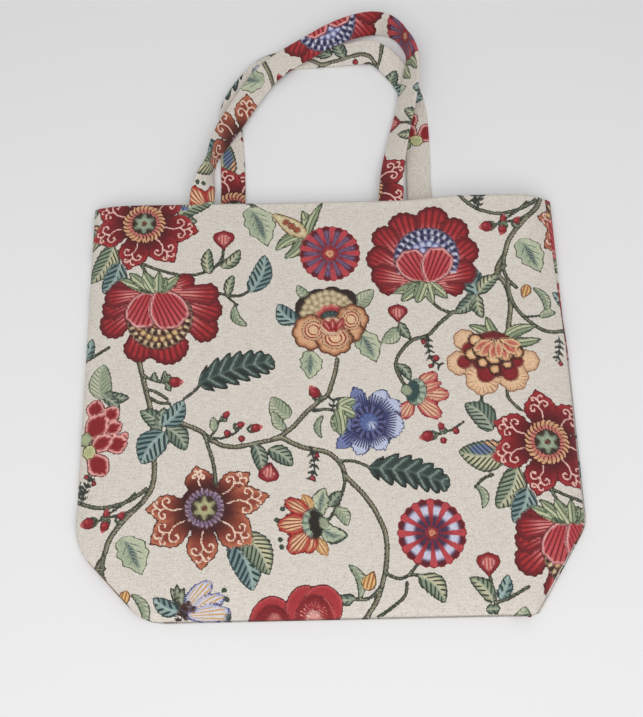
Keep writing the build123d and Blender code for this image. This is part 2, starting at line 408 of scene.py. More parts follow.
def leaf(loom, kind, base, tip, half, bend=0.0):
    """A leaf from its base to its tip: a blade round an axis that bows to one side, with slanted veins."""
    line, fill, shade, vein = leaf_kinds[kind]
    gap = vein_gaps[kind]
    length, turn = polar(tip[0] - base[0], tip[1] - base[1])
    for near, x, y in each_repeat(loom, base, length + half + 4):
        p, q = along(x, y, turn)
        share = np.clip(p / length, 0, 1)
        q = q - bend * np.sin(np.pi * share)
        slant = p - 0.95 * np.abs(q)
        width = blade_width(kind, share, slant, q, half, bend)
        if kind == "lobed":
            q = q - 1.6 * np.maximum(share - 0.6, 0) * half * 0.5
        aside = np.abs(q)
        beyond = np.maximum(-p, p - length)
        depth = np.where(beyond > 0, -np.hypot(beyond, q), np.clip(0.85 * (width - aside), -far_in, far_in))
        yarn = mixed(fill, shade, soft_in(-q, 1.6))
        inside = soft_in(depth - 0.6)
        if kind in ("green", "gold"):
            yarn = mixed(yarn, np.array(shade) * 0.8, 0.7 * soft_in(2.2 - depth, 2.5))
            level = np.where((aside > 0.9) & (depth > 0.4), 0.66, no_streak)
            lay(loom, near, depth, yarn, line, (slant / gap, vein, level))
            tint(loom, near, inside * soft_in(0.5 - aside) * (share < 0.85), pale_rib)
        elif kind == "teal":
            level = np.where((aside > 1.3) & (depth > 0.8), 0.52, no_streak)
            lay(loom, near, depth, yarn, line, (slant / gap, vein, level))
            tint(loom, near, 0.8 * inside * soft_in(0.8 - aside), teal_rib)
        elif kind == "lobed":
            heart = 0.17 * half * np.sin(np.pi * np.clip((share - 0.12) / 0.7, 0, 1))
            eye = soft_in(heart - np.abs(q + 0.05 * half))
            level = np.where(eye > 0.5, 0.30, np.where(depth > 0.3 * half, 0.93, no_streak))
            place = np.where(eye > 0.5, (p - q) / 3.0, slant / gap)
            lay(loom, near, depth, yarn, line, (place, (60, 80, 80), level))
            tint(loom, near, 0.6 * inside * eye, (124, 142, 136))
            tint(loom, near, 0.5 * inside * soft_in(2.2 - depth, 1.5), (200, 202, 172))
        else:
            level = np.where((aside > 0.8) & (depth > 0.8), 0.84, no_streak)
            streaks = (q / gap, vein, 0.80) if kind == "sepal" else (slant / gap, vein, level)
            lay(loom, near, depth, yarn, line, streaks)
            tint(loom, near, 0.75 * inside * soft_in(0.35 - aside) * (share < 0.8), vein)


def oak_leaf(loom, base, tip, half, bend):
    """A long dark leaf with deep round lobes that lean towards its tip, and a pale vein into each lobe."""
    length, turn = polar(tip[0] - base[0], tip[1] - base[1])
    for near, x, y in each_repeat(loom, base, length + half + 4):
        p, q = along(x, y, turn)
        share = np.clip(p / length, 0, 1)
        q = q - bend * np.sin(np.pi * share)
        aside = np.abs(q)
        slant = (p - 0.85 * aside) / (length / 6.6) + 0.12
        envelope = half * np.interp(share, (0, 0.06, 0.2, 0.5, 0.8, 0.93, 1),
                                    (0.1, 0.5, 0.95, 1.0, 0.86, 0.66, 0.3))
        lobes = np.abs(np.cos(np.pi * slant))
        width = envelope * (0.50 + 0.54 * lobes ** 0.5)
        beyond = np.maximum(-p, p - length)
        depth = np.where(beyond > 0, -np.hypot(beyond, q), np.clip(0.8 * (width - aside), -far_in, far_in))
        yarn = mixed((42, 60, 58), (28, 40, 40), soft_in(-q, 4))
        yarn = mixed(yarn, (66, 86, 82), 0.7 * soft_in(lobes - 0.55, 0.5) * soft_in(depth - 1, 2))
        rib = np.where((aside < 0.80 * width) & (depth > 0.8), 0.90, no_streak)
        lay(loom, near, depth, yarn, (20, 28, 28), (slant, (120, 136, 126), rib))
        tint(loom, near, 0.75 * soft_in(depth - 0.8) * soft_in(0.9 - aside), (92, 112, 106))


def stem(loom, width, points, twig=False):
    """A stem through given points: a smooth band of its width, with a light side and dark twists."""
    points = np.array(points, float)
    reach = running_length(points)
    at = np.linspace(0, reach[-1], max(int(reach[-1] / 2.5), 4))
    route = smooth_curve(points, reach, at)
    middle = (route.min(0) + route.max(0)) / 2
    for near, x, y in each_repeat(loom, middle, np.abs(route - middle).max() + width + 3):
        best = np.full(len(near), 99.0)
        side = np.zeros(len(near))
        place = np.zeros(len(near))
        for (ax, ay), (bx, by), start in zip(route - middle, route[1:] - middle, at):
            length = np.hypot(bx - ax, by - ay)
            ux, uy = (bx - ax) / length, (by - ay) / length
            p = np.clip((x - ax) * ux + (y - ay) * uy, 0, length)
            away = np.hypot(x - ax - p * ux, y - ay - p * uy)
            closer = away < best
            best = np.where(closer, away, best)
            side = np.where(closer, (y - ay) * ux - (x - ax) * uy, side)
            place = np.where(closer, start + p, place)
        dark, light = ((92, 92, 76), (176, 168, 144)) if width > 4 else ((84, 94, 78), (154, 154, 130))
        core = (56, 60, 52) if twig else mixed(dark, light, soft_in(side, width / 3))
        slubs = 0.80 + 0.16 * np.sin(place / 5.1) + 0.10 * np.sin(place / 1.9)
        twist = ((place + 1.2 * side) / 3.2, (90, 84, 68), no_streak if width < 3 else slubs)
        lay(loom, near, width / 2 - best, core, (40, 48, 42), twist)


def berry(loom, at, radius, tip_turn=None):
    """A round red berry with a dark edge and a light side, and sometimes a rosy tip and two sepals."""
    for near, x, y in each_repeat(loom, at, radius * 2 + 3):
        if tip_turn is not None:
            p, q = along(x, y, tip_turn)
            widths = (0.7 * radius, 0.6 * radius, 0.15 * radius)
            depth = outlined(p - radius * 0.4, q, radius * 1.1, widths)
            lay(loom, near, depth, (222, 160, 150), (193, 84, 84))
            for side in (-38, 38):
                out, across = along(p + radius + 4, q, side)
                depth = outlined(out, across, radius + 3, (0.3, 1.2, 1.4, 1.0, 0.2))
                lay(loom, near, depth, (134, 146, 120), (50, 64, 50))
        depth = radius - np.hypot(x, y)
        lit = soft_in(1.2 - np.hypot(x + radius * 0.3, y - radius * 0.3), 2.2)
        lay(loom, near, depth, mixed((136, 28, 40), (196, 88, 90), lit), (92, 20, 32))


def drop_bud(loom, at, size, turn=90.0):
    """A drop-shaped red bud on its point, with a rosy striped heart."""
    for near, x, y in each_repeat(loom, at, size * 2.2):
        p, q = along(x, y, turn)
        p = p + size
        widths = np.array((0.0, 0.34, 0.66, 0.92, 1.0, 0.84, 0.0)) * size
        lay(loom, near, outlined(p, q, 2.0 * size, widths), (140, 30, 40), (92, 20, 32))
        heart = outlined(p - 0.36 * size, q, 1.25 * size, widths * 0.56)
        stripes = (q / 2.8, (176, 70, 72), 0.62)
        lay_within(loom, near, heart > -2, heart, (214, 146, 138), (150, 44, 52), stripes)


def gold_bud(loom, base, tip, half):
    """A small pointed bud in gold with brown strokes."""
    length, turn = polar(tip[0] - base[0], tip[1] - base[1])
    for near, x, y in each_repeat(loom, base, length + half + 3):
        p, q = along(x, y, turn)
        depth = outlined(p, q, length, np.array((0.4, 0.9, 1.0, 0.8, 0.45, 0.0)) * half)
        strokes = ((q - 0.15 * p) / 3.1, (164, 96, 54), np.where(depth > 0.6, 0.62, no_streak))
        lay(loom, near, depth, (214, 178, 118), (94, 50, 36), strokes)


def fern(loom, points, berries=()):
    """A thin sprig with small dark leaflets in pairs, and a berry or two."""
    points = np.array(points, float)
    stem(loom, 1.5, points, twig=True)
    run = running_length(points)
    for place in np.arange(3.0, run[-1], 5.4):
        x = np.interp([place, place + 1], run, points[:, 0])
        y = np.interp([place, place + 1], run, points[:, 1])
        heading = np.degrees(np.arctan2(y[1] - y[0], x[1] - x[0]))
        for side in (-55, 55):
            a = np.radians(heading + side)
            leaf(loom, "green", (x[0], y[0]), (x[0] + 6 * np.cos(a), y[0] + 6 * np.sin(a)), 1.2)
    for at in berries:
        berry(loom, at, 2.3)


def line_depth(x, y, points):
    """How near each place is to the line through the points: 0 on it, and negative away from it."""
    best = np.full(len(x), 99.0)
    for (ax, ay), (bx, by) in zip(points, points[1:]):
        length = np.hypot(bx - ax, by - ay)
        ux, uy = (bx - ax) / length, (by - ay) / length
        p = np.clip((x - ax) * ux + (y - ay) * uy, 0, length)
        best = np.minimum(best, np.hypot(x - ax - p * ux, y - ay - p * uy))
    return -best


# The curls on a star flower's petal, as lines from its ring: each next one springs from the one before
curl_lines = (
    [(0, 0), (5, -1), (9, -1), (13, 1), (16, 4), (16, 7), (13, 9), (10, 8), (10, 5), (12, 5)],
    [(13, 1), (17, -1), (19, -4), (17, -8), (14, -8), (13, -5), (15, -4)],
    [(17, -1), (20, 1), (23, 3), (23, 6), (20, 6), (20, 4)],
    [(20, 1), (24, -1), (24, -4), (22, -4)],
)
curl_start = 18.5                # from the flower's middle
star_petal = (0.36, 0.42, 0.56, 0.74, 0.90, 1.0, 1.0, 0.88, 0.60, 0.30, 0.0)
petal_start = 8.0
dark_disc = 20.5                 # the dark round under the petals, so that none of the ground shows between
small_star = 10.5                # reach of the pale star inside the ring
star_eye = 2.3


def curls(p, q, start, size):
    """Distance from the curls on a petal: a line up its middle that parts into pairs of small spirals."""
    best = np.full(len(p), -99.0)
    for points in curl_lines:
        placed = [(start + a * size, b * size) for a, b in points]
        best = np.maximum(best, line_depth(p, q, placed))
    return -best


def star_flower(loom, at, petals, fill, light, line, curl, fringe, heart):
    """A star flower: pointed petals (angle, reach, half width) with curls, a ring and a star inside.

    The ring's fringe is (its reach, its tufts, and the colours between, at the foot and at the tips)."""
    wide, tufts, between, foot, tips = fringe
    for near, x, y in each_repeat(loom, at, 60):
        r, a = polar(x, y)
        lay(loom, near, dark_disc - r, np.array(line) * 0.9, line)
        for number, (turn, reach, half) in enumerate(petals):
            p, q = along(x, y, turn)
            depth = outlined(p - petal_start, q, reach - petal_start, np.array(star_petal) * half)
            depth = depth + 0.45 * np.sin(p * 1.1 + np.sign(q)) * (p > 18)
            yarn = mixed(line, fill, (p - 17) / 12)
            yarn = mixed(yarn, light, soft_in(4.0 - depth, 4) * np.clip((p - 22) / 12, 0, 1))
            close = np.flatnonzero(depth > -2)
            away = np.full(len(p), far_in)
            away[close] = curls(p[close], (q if number % 2 else -q)[close], curl_start, (reach - 20) / 29)
            lay(loom, near, depth, yarn, line, (0.5 * np.clip(away / 2, 0, 1), curl, 0.71))
        turns = folded(a / 360 * tufts + 0.6 * np.sin(r / 3))
        base = mixed((52, 40, 32), between, (r - 10) / 2)
        tuft = mixed(foot, tips, soft_in(r - 14.5, 3))
        ragged = wide + 1.3 * np.cos(np.radians(a * 13)) * np.cos(np.radians(a * 31 + 40))
        level = np.where((r > 10.5) & (r < wide), 0.36, no_streak)
        lay(loom, near, ragged - r, base, line, (turns, tuft, level))
        star = small_star - r * (1.0 + 0.85 * (1 - ridge(a - 30, 60)))
        inner = mixed(heart, np.array(heart) * 0.8, (r - 4) / 5)
        lay_within(loom, near, r < 14, 0.8 * star, inner, (46, 44, 34))
        lay_within(loom, near, r < 6, star_eye - r, (110, 50, 42), (66, 36, 32))


def fan_petal(loom, near, x, y, turn, reach, half):
    """A broad red petal from the flower's middle, with a scalloped round end and stripes that spread."""
    fill, line, light = (166, 40, 48), (80, 12, 24), (220, 142, 136)
    p, q = along(x, y, turn)
    middle = reach - half
    end = np.arctan2(q, p - middle)
    rim = half + 0.4 - 1.5 * (1 - np.abs(np.cos(half * np.pi / 7 * end)) ** 0.8)
    round_end = 0.95 * (rim - np.hypot(p - middle, q))
    wedge = half * (0.30 + 0.62 * np.clip(p / middle, 0, 1)) - np.abs(q)
    depth = np.where(p > middle, round_end, np.where(p < 0, -far_in, wedge))
    spread = np.degrees(np.arctan2(q, p + 10))
    from_end = reach - np.hypot(p, 0.6 * q)
    yarn = mixed(light, fill, (0.44 * reach - from_end) / (0.24 * reach))
    edge_shade = mixed(fill, line, np.full(len(p), 0.80))
    yarn = mixed(yarn, edge_shade, soft_in(3.4 - depth, 3.5) * (p > 0.4 * reach))
    stripe = mixed(fill, line, np.clip(0.35 + (p / reach - 0.6), 0, 1))
    lay(loom, near, depth, yarn, line, (spread / 4.4, stripe, 0.58))


def scales(loom, near, x, y, reach, wide, rows, edge, gap):
    """Rows of round-ended scales on arcs about a middle, outermost first: (fill, rim, seed or None) each."""
    r, a = np.hypot(x, y), np.arctan2(y, x)
    lay(loom, near, np.minimum(edge, far_in), gap, gap)
    high = 0.92 * wide
    row = np.clip(np.floor((reach - r) / high), 0, len(rows) - 1)
    outer = reach - row * high
    count = np.maximum(np.round(2 * np.pi * (outer - high / 2) / wide), 5)
    turns = a / (2 * np.pi) * count + 0.5 * (row % 2)
    across = (turns - np.round(turns)) * 2 * np.pi / count * r
    within = r - outer + high
    depth = wide / 2 - np.hypot(across, np.maximum(within - high + wide / 2, 0))
    depth = np.minimum(depth, edge + 1.2)
    fills, rims = (np.array([one[part] for one in rows], float)[row.astype(int)] for part in (0, 1))
    fills = fills + (rims - fills) * 0.8 * soft_in(1.3 - depth, 1.2)[:, None]
    lay_within(loom, near, (r < reach + 2) & (edge > -3), depth, fills, rims)
    for number, (_, _, seed) in enumerate(rows):
        if seed is not None:
            mark = 2.1 - np.hypot(across, 0.66 * (within - 0.52 * high))
            lay_within(loom, near, (row == number) & (edge > 0.5), mark, seed, seed)


def heart_petal(loom, near, x, y, turn, length, half):
    """A striped petal with a notched end and a rosy border, on a dark one a little larger."""
    p, q = along(x, y, turn)
    widths = np.array((0.16, 0.52, 0.80, 0.96, 1.0, 0.98, 0.84, 0.0)) * half
    depth = outlined(p, q, length, widths)
    notched = 2.2 * np.abs(np.cos(q * np.pi / (half * 0.78)))
    depth = np.minimum(depth, (length - 2.2 + notched - p) * 0.8)
    yarn = mixed((186, 62, 70), (204, 104, 104), 0.9 * (p / length - 0.35))
    stripes = q * (1.6 - 0.7 * p / length) / 4.6
    lay(loom, near, depth + 1.0, (120, 30, 42), (104, 24, 36))
    yarn = mixed(yarn, (234, 184, 178), soft_in(1.5 - depth, 0.9))
    level = np.where(depth > 1.6, 0.66, no_streak)
    lay_within(loom, near, depth > -1, depth, yarn, (226, 170, 166), (stripes, (124, 26, 38), level))


peony_reach = 88
peony_scale = 6.4                # width of one scale


def peony(loom, at, petals, bed, reach, cut, rows, gap, hearts, sepals):
    """A large garden flower: fan petals all round, an arch of scales, two heart petals and green sepals.

    The scales' arcs are about the bed, as far as their reach, and cut off straight at a height over it."""
    for near, x, y in each_repeat(loom, at, peony_reach):
        for turn, length, half in petals:
            fan_petal(loom, near, x, y, turn, length, half)
        sx, sy = x - bed[0], y - bed[1]
        r = np.hypot(sx, sy)
        close = r < reach + 6
        edge = np.minimum(reach - r, (y - cut) * np.sign(bed[1]))
        scales(loom, near[close], sx[close], sy[close], reach, peony_scale, rows, edge[close], gap)
        for (hx, hy), turn, length, half in hearts:
            heart_petal(loom, near, x - hx, y - hy, turn, length, half)
    for (bx, by), tip, half in sepals:
        leaf(loom, "sepal", (at[0] + bx, at[1] + by), (at[0] + tip[0], at[1] + tip[1]), half)


def wheel_flower(loom, at, radius, arms, lattice):
    """A wheel flower: red arms from a ringed eye, with violet or pale blocks between them and dark tips."""
    for near, x, y in each_repeat(loom, at, radius + 4):
        r, a = polar(x, y)
        rim = radius * (1 + 0.022 * np.cos(np.radians(a * arms * 2)))
        share = r / radius
        between = mixed((134, 112, 144), (70, 34, 62), 0.9 * (ridge(a, 360 / arms / 3) > 0.5))
        if lattice:
            between = mixed((50, 42, 76), (128, 50, 66), 0.7 * (ridge(r, 2.6) > 0.6) * (ridge(a, 10) > 0.4))
            pale_band = soft_in(share - 0.52, 0.1) * soft_in(0.80 - share, 0.08)
            between = mixed(between, (200, 200, 220), pale_band)
        between = mixed(between, (92, 18, 32), soft_in(share - 0.84, 0.08))
        arms_red = mixed((184, 66, 74), (128, 26, 42), soft_in(0.50 - share, 0.3))
        level = 0.60 if lattice else 0.58
        lay(loom, near, rim - r, between, (138, 38, 50), (folded(a * arms / 360), arms_red, level))
        eye = (0.20 if lattice else 0.28) * radius
        lay_within(loom, near, r < eye + 4, eye - r, (148, 36, 46), (52, 14, 26))
        lay_within(loom, near, r < eye + 4, 0.5 * eye - r, (220, 168, 130), (150, 44, 48))
        tint(loom, near, soft_in(1.4 - r, 0.9), (190, 92, 70))


def fold_disc(loom, at, reach, fill, line, scallops=0, rays=0, ray_colour=(150, 86, 58), squash=1.0,
              rim=None, ring=None):
    """A round form, plain or scalloped, with a shaded edge, and short rays or a pair of thin rings in it."""
    for near, x, y in each_repeat(loom, at, reach * 1.4 + 3):
        r, a = polar(x * squash, y)
        outer = reach
        if scallops:
            outer = reach * (0.94 + 0.12 * np.abs(np.cos(np.radians(a * scallops / 2))) ** 0.8)
        depth = outer - r
        shaded = np.array(fill) * 0.85 if rim is None else rim
        yarn = mixed(fill, shaded, 0.9 * soft_in(2.2 - depth, 1.6))
        level = np.where((r > reach * 0.5) & (depth > 1.2) & (rays > 0), 0.74, 1.3)
        streaks = (folded(a * max(rays, 1) / 360), ray_colour, level)
        if ring is not None:
            streaks = (0.5 * np.clip(np.abs(np.abs(r - ring) - 1.5) / 2, 0, 1), ray_colour, 0.72)
        lay(loom, near, depth, yarn, line, streaks)


def edged_disc(loom, at, reach, dark, fill, squash=1.0, **more):
    """A round form with a broad dark edge."""
    fold_disc(loom, at, reach + 1.3, dark, dark, more.get("scallops", 0), squash=squash)
    fold_disc(loom, at, reach, fill, dark, squash=squash, **more)


def blossom(loom, at, petals, fill, border, line, stripe, teeth=1.2, wide=2.3):
    """Toothed petals (base, angle, length, half width) with a border, and stripes along their middles."""
    for (bx, by), turn, length, half in petals:
        for near, x, y in each_repeat(loom, (at[0] + bx, at[1] + by), length + half + 2):
            p, q = along(x, y, turn)
            depth = outlined(p, q, length, np.array((0.30, 0.55, 0.82, 1.0, 0.96, 0.72, 0.36)) * half)
            toothed = teeth * (np.abs(np.cos(q * 0.75)) - 0.6)
            depth = depth + toothed * np.clip((p / length - 0.4) * 3, 0, 1)
            yarn = mixed(fill, border, soft_in(wide - depth, 0.6 * wide))
            level = np.where(depth > wide - 0.5, 0.66, no_streak)
            place = q / np.clip(0.4 + p / length, 0.5, 1.2) / 2.9
            lay(loom, near, depth, yarn, line, (place, stripe, level))


def cup(loom, at, turn, reach, collar):
    """A flower's green cup with a dark toothed collar in front of it."""
    for near, x, y in each_repeat(loom, at, reach * 1.8):
        p, q = along(x, y, turn)
        green = (1 - np.hypot((p - 0.45 * reach) / (0.75 * reach), q / reach)) * reach * 0.7
        ribs = (folded(np.degrees(np.arctan2(q, p + 2)) / 24), (112, 132, 118), 0.6)
        lay(loom, near, green, (166, 180, 156), (84, 104, 92), ribs)
        dark = (1 - np.hypot((p - 0.2 * reach) / (0.5 * reach), q / (0.78 * reach))) * reach * 0.5
        lay(loom, near, dark, collar, np.array(collar) * 0.6)
        knob = 0.4 * reach - np.hypot(p + 0.25 * reach, q)
        lay(loom, near, knob, (150, 160, 132), (64, 80, 66))


# Stems: the width of each, and the places that it runs through
stem_runs = [
    (4.6, [(-161, 32), (-158, 20), (-154, 5), (-150, -10), (-147, -30), (-146, -50), (-145, -60),
           (-147, -78), (-153, -88), (-163, -98), (-172, -108), (-180, -120), (-184, -132),
           (-188, -138), (-191, -144), (-190, -150), (-185, -158), (-182, -170), (-182, -182),
           (-185, -197), (-187, -206), (-193, -212)]),
    (3.5, [(-184, -133), (-185, -146), (-182, -154), (-175, -162)]),
    (3.5, [(-222, -72), (-214, -82), (-206, -88), (-198, -91), (-188, -93), (-178, -92), (-168, -89),
           (-160, -85), (-151, -78)]),
    (2.9, [(-157, 20), (-148, 16), (-139, 14), (-132, 14)]),
    (2.9, [(-153, 8), (-147, 6), (-136, -1)]),
    (2.9, [(-150, 0), (-143, -4), (-134, -5)]),
    (4.2, [(-131, -20), (-125, -22), (-115, -26), (-107, -30), (-99, -37), (-90, -42), (-80, -44),
           (-70, -43), (-60, -41), (-46, -38), (-38, -34), (-30, -28), (-20, -17), (-10, -8), (0, 0),
           (4, 10), (7, 20), (9, 31)]),
    (3.5, [(-104, -34), (-100, -45), (-97, -55), (-95, -65), (-94, -76)]),
    (2.9, [(-122, -1), (-113, 6), (-108, 12)]),
    (2.2, [(-100, -35), (-95, -30), (-91, -20), (-86, -17)]),
    (2.2, [(-98, -36), (-88, -36), (-80, -33), (-74, -28)]),
    (4.4, [(-46, -38), (-40, -37), (-30, -42), (-20, -46), (-10, -48), (0, -51), (6, -56), (11, -63),
           (13, -70), (20, -78), (28, -87), (35, -97), (40, -107), (44, -118), (45, -130), (44, -142),
           (42, -152), (39, -162), (35, -172), (29, -181), (20, -192)]),
    (2.9, [(8, -58), (20, -58), (28, -61), (35, -65)]),
    (2.9, [(12, -68), (12, -78), (9, -88), (5, -97), (-1, -106)]),
    (2.2, [(-156, -91), (-168, -98), (-180, -101), (-192, -104)]),
    (2.9, [(38, -162), (33, -167), (28, -170), (18, -170)]),
    (2.9, [(42, -149), (48, -153), (55, -155), (63, -152), (72, -153)]),
    (2.9, [(62, -152), (68, -145), (72, -140)]),
    (2.9, [(60, -158), (58, -168), (50, -175), (43, -180), (36, -184)]),
    (2.9, [(126, -153), (128, -163), (130, -175), (131, -188)]),
    (2.9, [(130, -175), (140, -172), (148, -168), (157, -163)]),
    (3.0, [(-106, 190), (-90, 186), (-75, 186), (-66, 183), (-58, 178), (-50, 173), (-42, 169)]),
    (3.0, [(-164, 126), (-148, 119), (-135, 115), (-124, 113), (-112, 114), (-104, 117), (-97, 121),
           (-91, 130), (-90, 138)]),
    (3.0, [(-164, 126), (-159, 117), (-155, 108)]),
    (3.0, [(-103, 98), (-92, 95), (-84, 93), (-75, 93), (-67, 97)]),
    (2.2, [(-88, 94), (-82, 88), (-77, 84)]),
    (3.0, [(82, 98), (89, 91), (94, 83), (100, 77), (110, 73), (116, 73)]),
    (3.5, [(112, 74), (106, 69), (100, 64), (88, 52), (75, 48), (66, 40), (60, 30), (59, 25), (62, 15),
           (67, 5)]),
    (3.0, [(132, 88), (140, 94), (146, 102), (152, 110), (161, 117)]),
    (3.5, [(162, 102), (163, 87), (168, 75), (175, 66), (182, 60), (190, 55), (198, 54), (207, 56),
           (218, 62)]),
    (2.2, [(171, 69), (180, 68), (187, 69)]),
    (2.2, [(184, 177), (175, 168), (165, 161), (157, 157)]),
    (2.9, [(132, 0), (130, -8), (127, -15)]),
    (2.9, [(153, 3), (153, -5), (157, -11), (163, -17)]),
    (2.2, [(114, -26), (105, -32), (98, -35), (90, -37)]),
    (2.9, [(135, -72), (127, -75), (120, -82)]),
    (2.9, [(-12, -14), (0, -13), (10, -16)]),
]
# Leaves: kind, base, tip, half width, and how far the blade bows to one side
leaf_places = [
    ("green", (-146, 15), (-148, 24), 3, 1), ("green", (-141, 15), (-139, 25), 3, -1),
    ("green", (-139, 14), (-134, 21), 3, 0), ("green", (-138, 12), (-133, 6), 3, 0),
    ("green", (-140, -28), (-159, -11), 8, -3), ("green", (-142, -26), (-138, -8), 5, 1),
    ("green", (-136, -26), (-119, -46), 9, 3), ("teal", (-138, -30), (-156, -57), 13, -3),
    ("gold", (-102, 114), (-103, 139), 6, 2), ("gold", (-92, 120), (-75, 138), 6, -3),
    ("teal", (-66, 96), (-53, 132), 10, -4), ("gold", (-86, 94), (-81, 113), 5, 1),
    ("kidney", (-80, 84), (-69, 64), 8, -4), ("pale", (-191, 0), (-192, 32), 11, 3),
    ("green", (-191, 4), (-168, 1), 6, -2), ("green", (-190, 2), (-176, -12), 5, 2),
    ("pale", (-32, -19), (-48, -1), 9, 3), ("pale", (-36, -30), (-47, -14), 5, 2),
    ("green", (-62, -42), (-56, -66), 7, 2), ("green", (-50, -46), (-30, -61), 8, 2),
    ("pale", (-96, -30), (-97, -17), 4, 0), ("kidney", (-4, -18), (-6, -38), 6, -4),
    ("teal", (-80, -122), (-63, -162), 13, 4), ("gold", (-75, -116), (-50, -150), 12, 5),
    ("lobed", (-169, -117), (-156, -150), 14, 4), ("teal", (-122, -177), (-143, -166), 7, 2),
    ("gold", (-9, -99), (-5, -80), 6, 2), ("green", (-8, -113), (14, -120), 8, -3),
    ("green", (-1, -96), (10, -83), 5, 1), ("pale", (5, -97), (14, -112), 6, 2),
    ("kidney", (14, -143), (22, -170), 8, 5), ("green", (18, -169), (3, -168), 5, 2),
    ("gold", (70, -153), (90, -174), 9, 4), ("gold", (128, -174), (110, -155), 7, -3),
    ("teal", (133, -172), (141, -153), 6, -2), ("green", (122, -180), (134, -179), 4, 0),
    ("lobed", (-67, 180), (-55, 138), 15, 5), ("sepal", (-17, 150), (-19, 176), 6, -3),
    ("sepal", (-16, 150), (-4, 172), 6, 3), ("sepal", (-19, 151), (-44, 136), 6, -3),
    ("sepal", (-17, 149), (-36, 128), 6, 3), ("sepal", (-15, 150), (0, 184), 4, 2),
    ("teal", (-25, 66), (-42, 84), 9, 3), ("pale", (20, 80), (43, 96), 8, -2),
    ("pale", (-14, 88), (-25, 102), 5, 1), ("lobed", (-14, 40), (-19, 14), 11, 3),
    ("lobed", (28, 57), (39, 26), 12, 4), ("pale", (63, 59), (48, 46), 7, 2),
    ("green", (64, 64), (73, 49), 5, -1), ("green", (61, 26), (71, 11), 5, 2),
    ("teal", (133, 90), (118, 117), 11, -4), ("gold", (135, 91), (154, 108), 7, 2),
    ("green", (132, 90), (113, 72), 7, 2), ("gold", (134, 89), (137, 67), 6, -2),
    ("kidney", (184, 96), (194, 70), 8, 5), ("pale", (187, 68), (203, 73), 4, 1),
    ("sepal", (149, 46), (124, 61), 5, -2), ("sepal", (149, 46), (140, 69), 5, 1),
    ("sepal", (152, 46), (183, 59), 6, 3), ("sepal", (153, 45), (187, 47), 5, -2),
    ("green", (138, -34), (116, -10), 11, -4), ("gold", (150, -52), (108, -52), 14, 4),
    ("gold", (156, -66), (136, -100), 12, 4), ("teal", (163, -84), (149, -112), 11, 3),
    ("kidney", (121, -80), (125, -100), 7, 4), ("gold", (-132, 173), (-100, 186), 9, 3),
    ("green", (-130, 172), (-114, 166), 6, -2), ("green", (22, -8), (8, -4), 6, 2),
    ("pale", (25, -20), (7, -19), 6, -2), ("pale", (14, -34), (3, -18), 5, 2),
]
# Berries: place, radius, and the angle of the rosy tip where there is one
berry_places = [
    ((-130, 14), 5, 0), ((-86, -16), 3, 60), ((-85, -32), 3, None), ((-74, -25), 3, 20),
    ((-73, -37), 3, None), ((-61, -28), 4, 10), ((-11, 2), 5, 120), ((-198, -105), 5, 190),
    ((-183, -98), 3, 80), ((-171, -100), 3, 60), ((-184, -108), 4, 250), ((83, -38), 5, 190),
    ((95, -30), 3, 110), ((96, -42), 3, None), ((107, -34), 3, None), ((94, 31), 3, None),
]


def stems_and_sprigs(loom):
    """The climbing stems, then the small dark sprigs that stand by them."""
    for width, points in stem_runs:
        stem(loom, width, points)
    fern(loom, [(-205, -88), (-203, -78), (-199, -70), (-197, -61)], [(-202, -66), (-195, -72)])
    fern(loom, [(-15, -47), (-12, -60), (-15, -72)], [(-10, -53), (-14, -72)])
    fern(loom, [(88, 52), (88, 40), (90, 30), (97, 24)], [(84, 46), (89, 24)])
    fern(loom, [(203, 50), (202, 36), (198, 27)], [(202, 25)])
    fern(loom, [(137, 188), (136, 175)])


def leaves(loom):
    """The leaves that grow from the stems, the two oak leaves, and the coloured hearts of three leaves."""
    for kind, base, tip, half, bend in leaf_places:
        leaf(loom, kind, base, tip, half, bend)
    oak_leaf(loom, (-110, 12), (-45, 31), 15, 4)
    oak_leaf(loom, (33, -64), (99, -80), 14, 4)
    leaf(loom, "teal", (-140, -24), (-122, -2), 9, -3)
    blue_heart, peach_heart = (104, 122, 168), (222, 168, 132)
    for at, across, high, colour in (((127, -50), 9.35, 4.25, blue_heart),
                                     ((-127, 180), 4.95, 2.25, blue_heart),
                                     ((138, -43), 9, 5, peach_heart)):
        for near, x, y in each_repeat(loom, at, 18):
            tint(loom, near, soft_in((1 - np.hypot(x / across, y / high)) * 5), colour)


def berries_and_buds(loom):
    """Berries, red drop buds, two gold buds, and the long cream bud with three round tips."""
    for at, radius, turn in berry_places:
        berry(loom, at, radius, turn)
    for at, size, turn in (((-90, 147), 10, 90), ((126, -145), 10, 90), ((63, 73), 9, 88),
                           ((-50, -66), 9, 262)):
        drop_bud(loom, at, size, turn)
    gold_bud(loom, (-164, -160), (-171, -173), 5)
    gold_bud(loom, (27, -163), (34, -148), 6)
    cream = (214, 200, 160)
    blossom(loom, (-45, 172), [((0, 0), 323, 37, 8)], cream, (186, 164, 116), (96, 62, 46), cream, 0)
    for at in ((-34, 164), (-29, 160), (-24, 156)):
        fold_disc(loom, at, 3, (168, 78, 56), (104, 44, 36))


def bordered_flower(loom):
    """The red flower with pale borders, and its two scalloped seed heads."""
    crimson = (134, 22, 32)
    petals = [((-9, 12), 80, 18, 9), ((1, 10), 48, 16, 8), ((15, -1), 330, 8, 5), ((0, 0), 26, 18, 7),
              ((3, -13), 18, 19, 9), ((-14, -5), 54, 26, 11), ((-11, -14), 28, 22, 8),
              ((-11, -17), 312, 24, 10)]
    blossom(loom, (-190, -30), petals, crimson, (232, 168, 160), (92, 24, 34), crimson, 0.8, 3.0)
    fold_disc(loom, (-205, -34), 6, (168, 178, 140), (70, 80, 56), 5)
    fold_disc(loom, (-201, -45), 6, (176, 180, 130), (70, 80, 50), 7, rim=(206, 204, 156))


